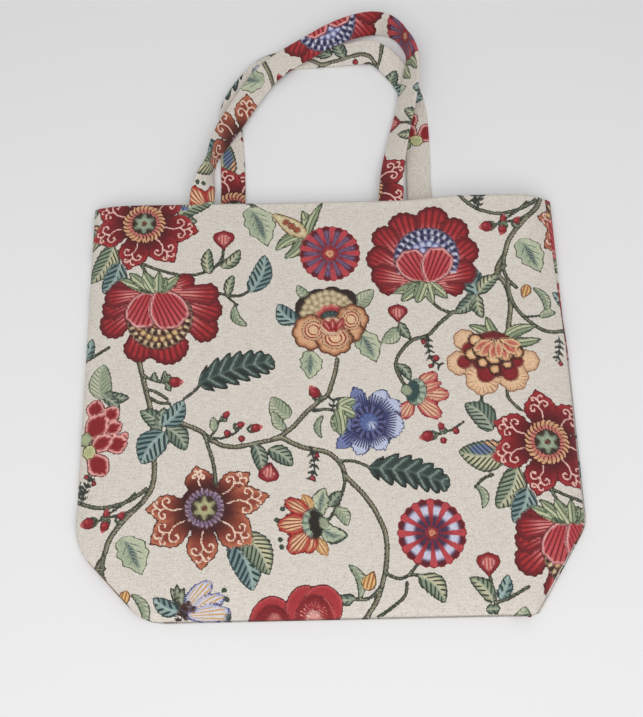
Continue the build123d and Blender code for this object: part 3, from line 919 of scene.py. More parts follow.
def poppy(loom):
    """The poppy at the base: flat round petals with dark rayed hearts, and scalloped domes on them."""
    for at, reach, squash in (((-48, -192), 26, 1.3), ((-21, -176), 18, 1.1), ((-8, -176), 18, 1.1),
                              ((-14, -190), 24, 1.35)):
        fold_disc(loom, at, reach, (164, 46, 54), (70, 14, 24), squash=squash, rim=(186, 78, 80))
    for at, reach, squash in (((-48, -194), 21, 1.3), ((-15, -188), 22, 1.5)):
        fold_disc(loom, at, reach, (122, 18, 30), (150, 36, 46), 0, 40, (154, 42, 50), squash)
    fold_disc(loom, (-46, -186), 7, (196, 110, 106), (136, 24, 34), 7, 14, (228, 176, 164), 1.3)
    fold_disc(loom, (-15, -184), 14, (150, 36, 44), (136, 24, 34), 9, 26, (222, 158, 148), 1.1)
    fold_disc(loom, (-15, -185), 8, (214, 150, 142), (150, 36, 44), 7, 12, (236, 206, 192), 1.2)


def pale_lily(loom):
    """The pale lilac lily: four narrow petals, three small leaves, and dark beads where they meet."""
    petals = [((0, 0), 62, 18, 5), ((0, 2), 46, 30, 8), ((4, 0), 24, 30, 7), ((3, -2), 2, 34, 8)]
    blossom(loom, (-118, -178), petals, (214, 208, 212), (178, 182, 214), (64, 68, 120), (202, 160, 96), 2.2)
    for tip in ((-129, -158), (-124, -155), (-118, -158)):
        leaf(loom, "gold", (-120, -172), tip, 3, 1)
    for at in ((-119, -173), (-115, -171), (-121, -178), (-116, -176), (-111, -175), (-117, -181),
               (-123, -183)):
        fold_disc(loom, at, 2.4, (70, 40, 36), (40, 26, 28))


def sideways_flowers(loom):
    """Two flowers seen from the side, each from a green cup: a gold and red one, and a peach one."""
    for tip, bend in (((-1, -80), 3), ((13, -121), -3)):
        leaf(loom, "lobed", (-9, -103 if bend > 0 else -111), tip, 8, bend)
    blossom(loom, (-16, -108), [((1, 8), 116, 16, 5), ((3, -12), 302, 18, 5)],
            (222, 188, 136), (208, 160, 104), (156, 108, 72), (170, 120, 78), 1.0)
    blossom(loom, (-16, -108), [((2, -8), 252, 18, 7), ((0, 6), 150, 24, 7), ((-1, -7), 226, 24, 9),
                                ((0, 0), 186, 27, 9)],
            (230, 184, 144), (172, 50, 44), (104, 28, 30), (132, 66, 50), 1.6, 3.0)
    cup(loom, (-9, -109), 180, 12, (52, 62, 54))
    for at in ((-14, -101), (-12, -105), (-15, -107), (-12, -110), (-14, -113), (-10, -116), (-12, -119)):
        fold_disc(loom, at, 3.2, (36, 34, 32), (28, 26, 26))
    for at in ((-39, -97), (-44, -106), (-41, -122), (-40, -128), (-86, -161), (-84, -168), (-83, -181),
               (-82, -185)):
        fold_disc(loom, at, 2.2, (70, 92, 80), (44, 60, 52))
    petals = [((0, -6), 238, 19, 7), ((1, 3), 34, 25, 7), ((2, 0), 356, 29, 8), ((2, -4), 320, 27, 8),
              ((2, 2), 16, 24, 5)]
    blossom(loom, (72, 0), petals, (226, 182, 152), (190, 74, 76), (124, 30, 46), (170, 96, 82), 1.6)
    cup(loom, (70, 2), 350, 12, (44, 72, 72))


def palmette(loom):
    """The palmette below the wheel: a dark-edged fan, a red arch and a dome, in a frill of peach lobes."""
    for at in ((-16, 80), (-6, 87), (6, 89), (17, 86)):
        fold_disc(loom, at, 11, (44, 34, 32), (34, 28, 28))
    for near, x, y in each_repeat(loom, (2, 72), 34):
        r, a = polar(x, y)
        scallops = 22.5 + 1.8 * np.abs(np.cos(np.radians(a * 4 + 10))) ** 0.8
        fan_row = ((210, 196, 160), (166, 146, 112), None)
        scales(loom, near, x, y, 25, 6.0, [fan_row] * 3, np.minimum(scallops - r, y + 9), (140, 118, 90))
    fold_disc(loom, (5, 68), 14, (168, 54, 58), (120, 34, 44), 12, rim=(204, 120, 112))
    fold_disc(loom, (4, 67), 10, (48, 68, 68), (30, 42, 44), 0, 14, (104, 126, 122))
    for at, reach, squash in (((-13, 57), 15, 1.0), ((23, 68), 13, 1.0), ((20, 58), 11, 1.0),
                              ((7, 50), 14, 0.95)):
        edged_disc(loom, at, reach, (96, 56, 40), (216, 166, 126), squash, scallops=8, rim=(170, 112, 78))
    for at, squash in (((-11, 59), 1.0), ((22, 68), 1.15), ((8, 51), 0.85)):
        fold_disc(loom, at, 10, (226, 188, 148), (148, 56, 48), 0, 0, (150, 50, 44), squash, ring=6)
    fold_disc(loom, (5, 62), 9, (228, 190, 158), (156, 62, 50), squash=0.85)
    rosy = (214, 146, 136)
    blossom(loom, (6, 57), [((-2, 0), 120, 12, 3), ((0, 0), 92, 12, 3), ((2, 0), 58, 14, 3)],
            rosy, (150, 32, 40), (120, 26, 34), rosy, 0)


def fanned_flower(loom):
    """The fanned flower at the right: rayed lobes, dark red between, and gold scales under a fringe."""
    for at, reach in (((120, 47), 10), ((173, 27), 10), ((114, 26), 11), ((159, 13), 13), ((133, 12), 15)):
        fold_disc(loom, at, reach, (228, 190, 152), (146, 92, 64), 7, 20, (170, 106, 76))
    fold_disc(loom, (144, 34), 21, (112, 30, 34), (70, 18, 24))
    for at, reach in (((118, 27), 6), ((136, 16), 8), ((157, 16), 7), ((163, 27), 6), ((123, 39), 6),
                      ((148, 23), 7)):
        fold_disc(loom, at, reach, (134, 28, 38), (96, 20, 28), 0, 16, (96, 16, 26))
    for at, reach in (((129, 47), 5), ((125, 34), 5), ((134, 26), 4), ((144, 20), 4), ((155, 25), 4),
                      ((133, 38), 6), ((164, 35), 5), ((144, 32), 7), ((154, 33), 6), ((160, 42), 4)):
        edged_disc(loom, at, reach, (56, 26, 26), (230, 196, 154), rim=(210, 156, 110))
    for at in ((133, 40), (145, 35), (153, 36)):
        fold_disc(loom, at, 4, (168, 60, 60), (206, 140, 116), 0, 10, (124, 30, 38))
    fringe = [((-2, 0), 204, 22, 5), ((-1, 0), 224, 21, 5), ((0, 0), 248, 19, 5), ((0, 0), 288, 19, 5),
              ((1, 0), 318, 20, 5), ((2, 0), 342, 18, 4), ((0, 0), 268, 17, 4)]
    blossom(loom, (149, 47), fringe, (176, 66, 66), (228, 190, 146), (90, 34, 34), (206, 120, 104), 0)


def blue_flower(loom):
    """The blue flower in the middle: frilled petals (angle, length, half width), a ring and a heart."""
    petals = ((110, 34, 7), (218, 36, 7), (135, 22, 8), (190, 20, 8), (62, 33, 9), (33, 33, 10),
              (298, 28, 9), (352, 31, 12), (250, 31, 8))
    for near, x, y in each_repeat(loom, (34, -25), 40):
        for turn, length, half in petals:
            tip = (112, 124, 168) if 100 < turn < 240 else (186, 194, 218)
            p, q = along(x, y, turn)
            widths = np.array((0.3, 0.4, 0.55, 0.8, 1.0, 1.0, 0.72, 0.0)) * half
            depth = outlined(p, q, length, widths) + 0.9 * np.cos(0.9 * p + 1.4 * q) * (p > 0.55 * length)
            yarn = mixed((50, 54, 98), tip, (p - 0.45 * length) / (0.22 * length))
            feather = np.where(p < 0.74 * length, 0.52, no_streak)
            streaks = (np.degrees(np.arctan2(q, p)) / 6, (44, 48, 92), feather)
            lay(loom, near, depth, yarn, (44, 50, 90), streaks)
        r, a = polar(x, y)
        beads = 15 + np.cos(np.radians(a * 9)) - r
        lay(loom, near, beads, (40, 42, 78), (30, 32, 62), (folded(a / 24), (92, 94, 140), 0.55))
        spiral = (folded(a / 40 + r / 9), (66, 82, 134), 0.7)
        lay_within(loom, near, r < 14, 8 - r, (88, 106, 156), (44, 54, 98), spiral)
        tint(loom, near, soft_in(3.5 - np.hypot(x - 3, y + 3), 4), (186, 194, 214))
    for tip in ((24, -5), (23, -20), (11, -36)):
        leaf(loom, "sepal", (8, -13), tip, 6, 1)
    fern(loom, [(4, -14), (5, -4)])


def wheels_and_peonies(loom):
    """The two wheel flowers, the red peony, and the red peony with a navy bed of scales."""
    wheel_flower(loom, (5, 132), 27, 13, False)
    wheel_flower(loom, (82, -119), 28, 12, True)
    seeded = ((226, 198, 146), (236, 212, 170), (50, 26, 26))
    plain_row, amber_row = ((224, 190, 134), (66, 32, 30), None), ((212, 146, 96), (62, 28, 28), None)
    peony(loom, (-149, 97),
          [(178, 42, 11), (20, 36, 9), (256, 66, 14), (284, 69, 18), (219, 59, 14), (321, 68, 13),
           (200, 50, 11), (340, 62, 12), (185, 46, 11), (357, 56, 11)],
          (4, -24), 29, -9, [seeded, plain_row, seeded, amber_row, plain_row], (58, 26, 28),
          [((-3, 2), 248, 37, 14), ((1, 2), 299, 40, 16)],
          [((0, 0), (-33, 14), 5), ((3, 0), (20, 16), 5), ((-2, 0), (-25, 20), 5), ((3, 0), (9, 15), 4),
           ((0, 0), (-12, 20), 6), ((2, 0), (2, 20), 5)])
    navy_row = ((178, 186, 214), (222, 222, 232), (34, 36, 74))
    pale_row, sand_row = ((196, 200, 224), (92, 98, 146), None), ((208, 196, 182), (92, 74, 84), None)
    peony(loom, (86, 102),
          [(184, 40, 10), (352, 38, 10), (104, 71, 15), (79, 74, 16), (125, 66, 13), (57, 69, 14),
           (147, 56, 13), (36, 61, 13), (168, 46, 12), (14, 50, 12)],
          (5, 23), 29, 10, [navy_row, navy_row, pale_row, pale_row, sand_row], (46, 48, 88),
          [((2, 0), 120, 35, 13), ((6, 0), 66, 35, 13)],
          [((2, 0), (-26, -10), 5), ((5, 0), (22, -16), 5), ((2, 0), (-20, -18), 6), ((4, 0), (8, -21), 5),
           ((2, 0), (-6, -20), 6)])


def star_flowers(loom):
    """The red star flower and the rust one, each with its own ring."""
    star_flower(loom, (-162, 165), [(46, 46, 14), (350, 51, 14), (306, 49, 14), (97, 47, 14), (157, 48, 14),
                                    (195, 50, 14), (254, 48, 14)],
                (122, 20, 32), (162, 44, 50), (76, 12, 24), (228, 184, 172),
                (19.5, 27, (76, 12, 24), (196, 112, 102), (214, 164, 122)), (156, 170, 146))
    star_flower(loom, (-103, -95), [(102, 37, 12), (38, 48, 12), (10, 55, 12), (268, 51, 13), (323, 50, 15),
                                    (213, 53, 14), (180, 49, 12)],
                (138, 62, 46), (186, 110, 82), (62, 20, 24), (230, 200, 180),
                (16.5, 24, (92, 56, 66), (124, 106, 134), (158, 142, 154)), (178, 176, 132))


def figure(loom):
    """Weave the whole figure in flat cloth millimetres, back to front."""
    for part in (stems_and_sprigs, leaves, berries_and_buds, bordered_flower, poppy, pale_lily,
                 sideways_flowers, palmette, fanned_flower, blue_flower, wheels_and_peonies, star_flowers):
        part(loom)


far_out = 4.0                    # edges further off than this aren't told apart
reading_shift = 0.33
bare_yarn, bare_line = 140.0, 60.0   # greys for where no shape is near, so that none of them shows


def weave(x, y):
    """The figure's yarn, edge line, vein and its level, streak place and edge distance, at cloth places.

    Each place is read four times, two thirds of a millimetre apart, and averaged."""
    sums = None
    for right, up in ((-1, -1), (1, -1), (-1, 1), (1, 1)):
        loom = {"x": x + right * reading_shift, "y": y + up * reading_shift,
                "low": (x.min(), y.min()), "high": (x.max(), y.max()),
                "edge": np.full(len(x), -far_out), "yarn": np.full((len(x), 3), bare_yarn),
                "line": np.full((len(x), 3), bare_line), "place": np.full(len(x), 0.5),
                "vein": np.full((len(x), 4), no_streak)}
        figure(loom)
        edge = np.clip(loom["edge"], -far_out, far_out)
        one = np.column_stack([loom["yarn"], loom["line"], loom["vein"], loom["place"], edge])
        sums = one if sums is None else sums + one
    return np.split(sums / 4, (3, 6, 10, 11), axis=1)


def add_node(tree, kind, inputs=(), output=0, **settings):
    """Add a shader node with its settings, and link or fill its inputs. Returns one of its outputs."""
    made = tree.nodes.new(kind)
    for name, value in settings.items():
        setattr(made, name, value)
    for socket, value in dict(inputs).items():
        if isinstance(value, bpy.types.NodeSocket):
            tree.links.new(value, made.inputs[socket])
        else:
            made.inputs[socket].default_value = value
    return made.outputs[output]


def maths(tree, operation, *values, clamp=False):
    """A maths node on sockets or numbers."""
    return add_node(tree, "ShaderNodeMath", dict(enumerate(values)), operation=operation, use_clamp=clamp)


def blend(tree, share, first, second):
    """A colour between two, by a share from 0 to 1."""
    return add_node(tree, "ShaderNodeMix", {0: share, 6: first, 7: second}, 2, data_type="RGBA")


def shaded(tree, colour, light):
    """A colour made darker or lighter by a light of about 1."""
    mix = {"data_type": "RGBA", "blend_type": "MULTIPLY"}
    return add_node(tree, "ShaderNodeMix", {0: 1.0, 6: colour, 7: light}, 2, **mix)


def new_group(name, inputs, outputs):
    """An empty node group with named sockets: it, its input node's outputs and its output node's inputs."""
    group = bpy.data.node_groups.new(name, "ShaderNodeTree")
    for label, kind in inputs:
        group.interface.new_socket(label, in_out="INPUT", socket_type="NodeSocket" + kind)
    for label, kind in outputs:
        group.interface.new_socket(label, in_out="OUTPUT", socket_type="NodeSocket" + kind)
    return group, group.nodes.new("NodeGroupInput").outputs, group.nodes.new("NodeGroupOutput").inputs


def placed_group(tree, group, place, pitch):
    """The threads group set into a tree, with cloth places and a thread pitch in mm. Returns its outputs."""
    weave_node = tree.nodes.new("ShaderNodeGroup")
    weave_node.node_tree = group
    tree.links.new(place, weave_node.inputs["Place"])
    weave_node.inputs["Pitch"].default_value = pitch
    return weave_node.outputs


def linear(colour):
    """A screen colour of 0 to 255 as light, by the sRGB curve."""
    share = np.asarray(colour, float) / 255
    return np.where(share < 0.04045, share / 12.92, ((share + 0.055) / 1.055) ** 2.4)


def yarn_light(colour):
    """A screen colour as a shader node takes it: light, and fully there."""
    return (*linear(colour), 1)


tapestry_pitch = 0.85            # from one thread to the next
edge_shake = 0.62                # how far one crossing and the next may shift an edge apart
edge_sharp = 4.0                 # edges fade over one part in this many of a millimetre
line_width = 1.15                # the edge line ends this far in
line_cover = 0.92
thread_relief = 0.00035          # in metres
ground_yarn = ((193, 183, 170), (238, 231, 221))     # cream, from its darker slubs to its lighter ones
# The odd threads among the ground's: which of the random values they take, how strongly, and their colour
odd_threads = (("GREATER_THAN", 0.90, 0.30, (156, 148, 134)), ("LESS_THAN", 0.22, 0.45, (236, 229, 221)))


def thread_group():
    """Threads of a plain weave: the height of the one on top, a random value per crossing, and slubs."""
    group, given, made = new_group(
        "threads", [("Place", "Vector"), ("Pitch", "Float")],
        [("Height", "Float"), ("Crossing", "Float"), ("Slub", "Float")])
    in_threads = {0: given["Place"], 1: given["Pitch"]}
    scaled = add_node(group, "ShaderNodeVectorMath", in_threads, operation="DIVIDE")
    parts = group.nodes.new("ShaderNodeSeparateXYZ")
    group.links.new(scaled, parts.inputs[0])
    u, v = parts.outputs[0], parts.outputs[1]
    warp, weft = (maths(group, "ABSOLUTE", maths(group, "SINE", maths(group, "MULTIPLY", way, np.pi)))
                  for way in (u, v))
    both = maths(group, "ADD", maths(group, "FLOOR", u), maths(group, "FLOOR", v))
    over = maths(group, "GREATER_THAN", maths(group, "MODULO", maths(group, "ABSOLUTE", both), 2.0), 0.5)
    height = add_node(group, "ShaderNodeMix", {0: over, 2: warp, 3: weft})
    cells = add_node(group, "ShaderNodeVectorMath", {0: scaled}, operation="FLOOR")
    crossing = add_node(group, "ShaderNodeTexWhiteNoise", {0: cells}, noise_dimensions="3D")
    lengthways = {0: given["Place"], 1: (0.11, 1.15, 1.0)}
    stretched = add_node(group, "ShaderNodeVectorMath", lengthways, operation="MULTIPLY")
    slub = add_node(group, "ShaderNodeTexNoise", {"Vector": stretched, "Scale": 1.0, "Detail": 2.0})
    for label, value in (("Height", height), ("Crossing", crossing), ("Slub", slub)):
        group.links.new(value, made[label])
    return group


def figure_group(threads):
    """The tapestry's colour and thread height from the woven figure's vertex values, with painted shade
    where each thread dips under the next.

    An edge is drawn where the distance in from it, shaken a little at each crossing, changes sign.
    A streak is drawn in the same way, where its ridge rises over its level."""
    group, given, made = new_group(
        "woven_figure", [("Place", "Vector"), ("Edge", "Float"), ("Streak", "Float"), ("Level", "Float"),
                         ("Yarn", "Color"), ("Line", "Color"), ("Vein", "Color")],
        [("Colour", "Color"), ("Height", "Float")])
    height, crossing, slub = placed_group(group, threads, given["Place"], tapestry_pitch)
    shake = maths(group, "MULTIPLY_ADD", crossing, edge_shake, -edge_shake / 2)
    shaken = maths(group, "ADD", given["Edge"], shake)
    inside = maths(group, "MULTIPLY_ADD", shaken, edge_sharp, 0.5, clamp=True)
    band = maths(group, "MULTIPLY_ADD", shaken, -edge_sharp, edge_sharp * line_width, clamp=True)
    wave = maths(group, "COSINE", maths(group, "MULTIPLY", given["Streak"], 2 * np.pi))
    over_level = maths(group, "SUBTRACT", maths(group, "MULTIPLY_ADD", wave, 0.5, 0.5), given["Level"])
    shaken_level = maths(group, "ADD", over_level, maths(group, "MULTIPLY_ADD", crossing, 0.2, -0.1))
    streak = maths(group, "MULTIPLY_ADD", shaken_level, 6.0, 0.5, clamp=True)
    fill = blend(group, streak, given["Yarn"], given["Vein"])
    fill = blend(group, maths(group, "MULTIPLY", band, line_cover), fill, given["Line"])
    fill = blend(group, 0.03, fill, yarn_light((206, 190, 170)))
    # Painted shade: the figure's yarn is darker where a thread dips under the next; each crossing also
    # differs a little in tone at random
    by_crossing = maths(group, "MULTIPLY_ADD", crossing, 0.30, 0.86)
    thread_dip_shade = maths(group, "MULTIPLY_ADD", height, 0.30, 0.80)
    fill = shaded(group, fill, maths(group, "MULTIPLY", by_crossing, thread_dip_shade))
    ground = blend(group, slub, *(yarn_light(colour) for colour in ground_yarn))
    for test, bound, amount, colour in odd_threads:
        thread = maths(group, "MULTIPLY", maths(group, test, crossing, bound), amount)
        ground = blend(group, thread, ground, yarn_light(colour))
    # Painted shade: the cream ground is darker where a thread dips under the next
    ground = shaded(group, ground, maths(group, "MULTIPLY_ADD", height, 0.16, 0.89))
    group.links.new(blend(group, inside, ground, fill), made["Colour"])
    raised = maths(group, "MULTIPLY_ADD", inside, 0.6, height)
    group.links.new(maths(group, "MULTIPLY_ADD", slub, 0.5, raised), made["Height"])
    return group


def cloth_material(name, finish):
    """A new material, its node tree and its shader, with the finish's values set on the shader's sockets."""
    material = bpy.data.materials.new(name)
    material.use_nodes = True
    shader = material.node_tree.nodes["Principled BSDF"]
    for socket, value in finish.items():
        shader.inputs[socket].default_value = value
    return material, material.node_tree, shader


def tapestry_material(name, woven):
    """Matt tapestry: the woven figure's colour, its threads as small bumps, and a faint fuzz."""
    material, tree, shader = cloth_material(name, {
        "Roughness": 0.92, "Specular IOR Level": 0.18, "Sheen Weight": 0.10, "Sheen Roughness": 0.5})
    figure_node = tree.nodes.new("ShaderNodeGroup")
    figure_node.node_tree = woven
    for attribute, output in (("edge", "Fac"), ("streak", "Fac"), ("level", "Fac"), ("yarn", "Color"),
                              ("line", "Color"), ("vein", "Color"), ("place", "Vector")):
        source = add_node(tree, "ShaderNodeAttribute", output=output, attribute_name=attribute)
        tree.links.new(source, figure_node.inputs[attribute.title()])
    bump = add_node(tree, "ShaderNodeBump", {
        "Height": figure_node.outputs["Height"], "Strength": 0.55, "Distance": thread_relief})
    tree.links.new(figure_node.outputs["Colour"], shader.inputs["Base Color"])
    tree.links.new(bump, shader.inputs["Normal"])
    return material


threads = thread_group()
tapestry = tapestry_material("tapestry", figure_group(threads))


def dress(piece, x, y, order):
    """Give a piece the tapestry, and the woven figure's values at its points' cloth places, in an order."""
    yarn, line, vein, streak, edge = (value[order] for value in weave(x.ravel(), y.ravel()))
    places = np.column_stack([x.ravel(), y.ravel(), np.zeros(x.size)])[order]
    attributes = piece.data.attributes
    for name, colour in (("yarn", yarn), ("line", line), ("vein", vein[:, :3])):
        light = np.hstack([linear(colour), np.ones((len(colour), 1))])
        made = attributes.new(name, "FLOAT_COLOR", "POINT")
        made.data.foreach_set("color", light.astype(np.float32).ravel())
    for name, value in (("level", vein[:, 3]), ("streak", streak), ("edge", edge)):
        made = attributes.new(name, "FLOAT", "POINT")
        made.data.foreach_set("value", value.astype(np.float32).ravel())
    made = attributes.new("place", "FLOAT_VECTOR", "POINT")
    made.data.foreach_set("vector", places.astype(np.float32).ravel())
    piece.data.materials.append(tapestry)


def cloth_order(rows, columns, step):
    """Which fine grid point each point of a cloth shell takes its figure from, the hidden side's last."""
    fine = np.arange(rows * columns)
    return np.concatenate([fine, fine.reshape(rows, columns)[::step, ::step].ravel()])


def cloth_length(outer):
    """Each point's place along the cloth: its own on the face, and mirrored at the base fold beyond it."""
    y = outer[..., 1]
    in_pleat = np.arange(len(y)) >= len(y) - pleat_rows * coarse
    return np.where(in_pleat[:, None], 2 * base_y - y, y)


def stand_for(piece, node):
    """Hide the solid that a piece replaces, and tie the piece to the root body."""
    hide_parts(node)
    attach(piece, "root")


dress(front, front_outer[..., 0], cloth_length(front_outer), cloth_order(*front_outer.shape[:2], coarse))
stand_for(front, "front_panel")

# Back panel: the same cloth, lying flat on the table. Its right edge is sewn to the front's, and
# near the mouth it turns over on to the front as a narrow strip. Its half of the base is the
# lower side of the pleat.
back_roll = 9.0
back_cell = 1.52
turn_steps = 2 * coarse
back_slack = 0.35                # how far the loose waves lift its underside
strip_short = 0.3                # the strip ends this far short of the front's edge
back_figure_start = 18.0         # the place on the cloth's own length that lies at the bag's zero


def back_grid(step, multiple):
    """The back's outer face as a grid of points: turned strip and underside, then the pleat's lower side."""
    share, y = panel_places(step, multiple, back_roll, seam_level)
    share = share[::-1]
    left, right = outline_ends(y)
    x = between_ends(left, right, share)
    edge = inset(x, y[:, None])
    level = seam_level - np.maximum(rolled(edge, back_roll, seam_level), open_pleat(y)[:, None])
    level += back_slack * ramp(edge, 6, 30) * (0.5 + relief(x, y[:, None]))
    face = point_grid(x, y, level)
    # The strip's steps run from its own edge, tucked half a millimetre down, out to the right seam
    steps = np.linspace(1, 0, turn_steps + 1)[:-1] ** 1.5
    strip_wide = np.where(inset(right - 1, y) > 0, seam_turn(y) - strip_short, 0.1)
    in_from_edge = strip_wide[:, None] * steps[None, :]
    strip_x = right[:, None] - in_from_edge
    strip_z = np.maximum(front_height(strip_x, y[:, None]), seam_level) - 0.5 * (steps[None, :] > 0.9)
    face = np.concatenate([point_grid(strip_x, y, strip_z), face], 1)
    # In the pleat the strip's steps fall together on the right seam
    share = np.concatenate([np.repeat(share[:1], turn_steps), share])
    return np.concatenate([face, pleat_side(share, -1, multiple)])


back_outer = back_grid(back_cell, coarse)
back = cloth_shell("back_tapestry", back_outer, hidden_side(back_outer), coarse)

# The back is cut with its figure upside down, so that both panels can come from one length. The
# strip's cloth goes on past the back's right edge.
back_cloth_x = back_outer[..., 0].copy()
right_edge = back_cloth_x[:, turn_steps:turn_steps + 1]
back_cloth_x[:, :turn_steps] = right_edge + (right_edge - back_cloth_x[:, :turn_steps])
back_cloth_y = back_figure_start - cloth_length(back_outer)
dress(back, back_cloth_x, back_cloth_y, cloth_order(*back_cloth_x.shape, coarse))
stand_for(back, "back_panel")

# Handles: two straps, each a strip of the same cloth folded in along both edges and sewn flat.
# Their ends are caught between the cloth and the lining at the mouth. The front one stands on
# edge where it bends, and the back one lies flatter inside its loop.
strap_width = 22.5
strap_thick = 3.0
strap_crown = 0.25               # how far the middle of its face stands up
strap_groove = 0.35              # how far the folded edges leave a groove underneath
strap_tuck = 28.0
strap_lift = 0.3
strap_clearance = 0.3
handle_spacing = 173.0
handle_reach = 199.0
strap_cell = 0.95
front_handle_middle = -24.2
back_handle_middle = 3.4
# Where each strap's cloth was cut, as places on the cloth: one end at the mouth, and its middle line
front_strap_cut = (-175.0, 138.0)
back_strap_cut = (182.0, -46.0)
# Stations round each loop: place across (percent of half the spacing) and along (percent of the
# reach), strap layers under its lower edge, and its lean in degrees, which lifts the outer edge
front_stations = [
    (-99.5, 4.5, 3.40, 12), (-98.0, 9.0, 2.50, 30), (-96.0, 14.5, 1.40, 52), (-93.5, 19.0, 0.80, 70),
    (-90.5, 24.0, 0.60, 79), (-86.5, 29.0, 1.10, 70), (-80.5, 34.5, 1.60, 56), (-71.0, 42.5, 1.60, 42),
    (-60.0, 51.5, 1.35, 33), (-47.0, 61.5, 1.25, 25), (-30.5, 72.0, 1.45, 15), (-8.0, 80.5, 1.60, 9),
    (18.0, 87.5, 1.90, 11), (43.0, 93.5, 2.10, 18), (67.0, 98.0, 1.50, 28), (87.5, 99.8, 0.90, 42),
    (104.0, 98.5, 0.55, 60), (116.5, 94.5, 0.55, 74), (124.5, 89.0, 0.70, 79), (129.0, 82.0, 2.10, 75),
    (130.0, 74.5, 3.10, 63), (127.5, 64.5, 2.60, 49), (121.0, 50.5, 1.70, 41), (113.0, 37.0, 1.50, 36),
    (106.5, 24.0, 2.10, 27), (102.5, 13.0, 3.10, 14), (101.0, 6.0, 3.60, 4),
]
back_stations = [
    (-100.0, 6.0, 0.35, 0), (-100.0, 13.0, 0.05, 0), (-101.5, 30.0, 0.00, 0), (-103.5, 42.0, 0.00, 3),
    (-103.5, 48.5, 0.05, 10), (-100.0, 55.0, 0.15, 19), (-92.0, 61.5, 0.20, 25), (-82.0, 68.0, 0.25, 21),
    (-70.0, 75.0, 0.20, 13), (-55.0, 80.0, 0.10, 5), (-37.0, 82.5, 0.05, 0), (-13.0, 83.5, 0.05, 0),
    (12.0, 84.0, 0.10, 4), (32.0, 84.5, 0.25, 13), (50.0, 83.8, 0.50, 36), (62.0, 81.5, 0.40, 46),
    (71.0, 78.5, 0.30, 38), (79.0, 75.3, 0.20, 20), (86.0, 71.7, 0.20, 8), (93.0, 66.0, 0.10, 0),
    (98.5, 57.5, 0.00, 0), (101.0, 47.0, 0.00, 0), (101.0, 25.5, 0.00, 0), (100.0, 13.0, 0.05, 0),
    (100.0, 6.0, 0.35, 0),
]


def strap_route(stations, middle, end_level):
    """Places and leans along a strap: a smooth curve through its stations and its tucked ends."""
    across, along, layers, lean = np.array(stations).T
    half = handle_spacing / 2
    rise = (strap_width - strap_thick) / 2 * np.sin(np.radians(lean))
    level = strap_lift + layers * (strap_thick + strap_clearance) + rise + strap_thick / 2
    middles = np.stack([middle + across / 100 * half, mouth_y + along / 100 * handle_reach, level, lean], -1)
    deep = mouth_y - strap_tuck
    tucked = (deep, deep / 2 + mouth_y / 2, mouth_y + 2)
    ends = [np.array([[middle + side * half, y, end_level, 0] for y in tucked]) for side in (-1, 1)]
    knots = np.concatenate([ends[0], middles, ends[1][::-1]])
    # The knots stand apart by the square roots of their distances, so that close ones make no loop
    apart = np.sqrt(np.linalg.norm(np.diff(knots[:, :3], axis=0), axis=1))
    reach = np.concatenate([[0], np.cumsum(apart)])
    curve = smooth_curve(knots, reach, np.linspace(0, reach[-1], 6000))
    run = running_length(curve[:, :3])
    places = np.linspace(0, run[-1], int(run[-1] / strap_cell))
    return np.stack([np.interp(places, run, curve[:, k]) for k in range(4)], -1), places


def strap_section():
    """A folded strap's section points: across, up, and their places round the cloth.

    Its face is crowned by a parabola, its edges are half circles, and a groove runs along its underside."""
    edge = strap_thick / 2
    flat = strap_width / 2 - edge
    face = np.linspace(-flat, flat, int(2 * flat / strap_cell) + 1)
    turn = np.linspace(0, np.pi, 7)[1:-1]
    below = np.linspace(flat, -flat, 11)
    crown = strap_crown * (1 - (face / flat) ** 2)
    groove = strap_groove * np.exp(-((below / 1.6) ** 2))
    across = np.concatenate([face, flat + edge * np.sin(turn), below, -flat - edge * np.sin(turn)])
    up = np.concatenate([edge + crown, edge * np.cos(turn), -edge + groove, -edge * np.cos(turn)])
    under = below[::-1] + 2 * flat + strap_thick
    around = np.concatenate([face, flat + edge * turn, under, -flat - edge * turn[::-1]])
    return across, up, around


def unit(vectors):
    """Vectors with their lengths brought to 1."""
    return vectors / np.linalg.norm(vectors, axis=1, keepdims=True)


def strap_mesh(name, stations, middle, end_level):
    """A strap: its section carried along its route, leaning as the stations say, with both ends closed."""
    route, places = strap_route(stations, middle, end_level)
    heading = unit(np.gradient(route[:, :3], axis=0))
    sideways = unit(np.stack([-heading[:, 1], heading[:, 0], np.zeros(len(route))], -1))
    lean = np.radians(route[:, 3])[:, None]
    outwards = sideways * np.cos(lean) + np.array([0, 0, 1.0]) * np.sin(lean)
    outwards = unit(outwards - heading * (outwards * heading).sum(1, keepdims=True))
    upwards = np.cross(heading, outwards)
    across, up, around = strap_section()
    grid = route[:, None, :3] + outwards[:, None] * across[None, :, None]
    grid = grid + upwards[:, None] * up[None, :, None]
    rings, sides = grid.shape[:2]
    index = np.arange(rings * sides).reshape(rings, sides)
    beside = np.roll(index, -1, 1)
    quads = np.stack([index[:-1], index[1:], beside[1:], beside[:-1]], -1).reshape(-1, 4)
    middles = np.array([rings * sides, rings * sides + 1])
    caps = [np.stack([index[0], beside[0], np.full(sides, middles[0])], -1),
            np.stack([beside[-1], index[-1], np.full(sides, middles[1])], -1)]
    points = np.concatenate([grid.reshape(-1, 3), route[[0, -1], :3]]) / 1000
    return make_mesh(name, points, quads, np.concatenate(caps)), places, around


def dress_strap(strap, places, around, start_x, middle_y):
    """Dress a strap cut across the cloth: its length runs back along the cloth's width from a start."""
    x = np.broadcast_to(start_x - places[:, None], (len(places), len(around)))
    y = np.broadcast_to(middle_y - around[None, :], x.shape)
    both_ends = np.array([0, x.size - 1])
    dress(strap, x, y, np.concatenate([np.arange(x.size), both_ends]))


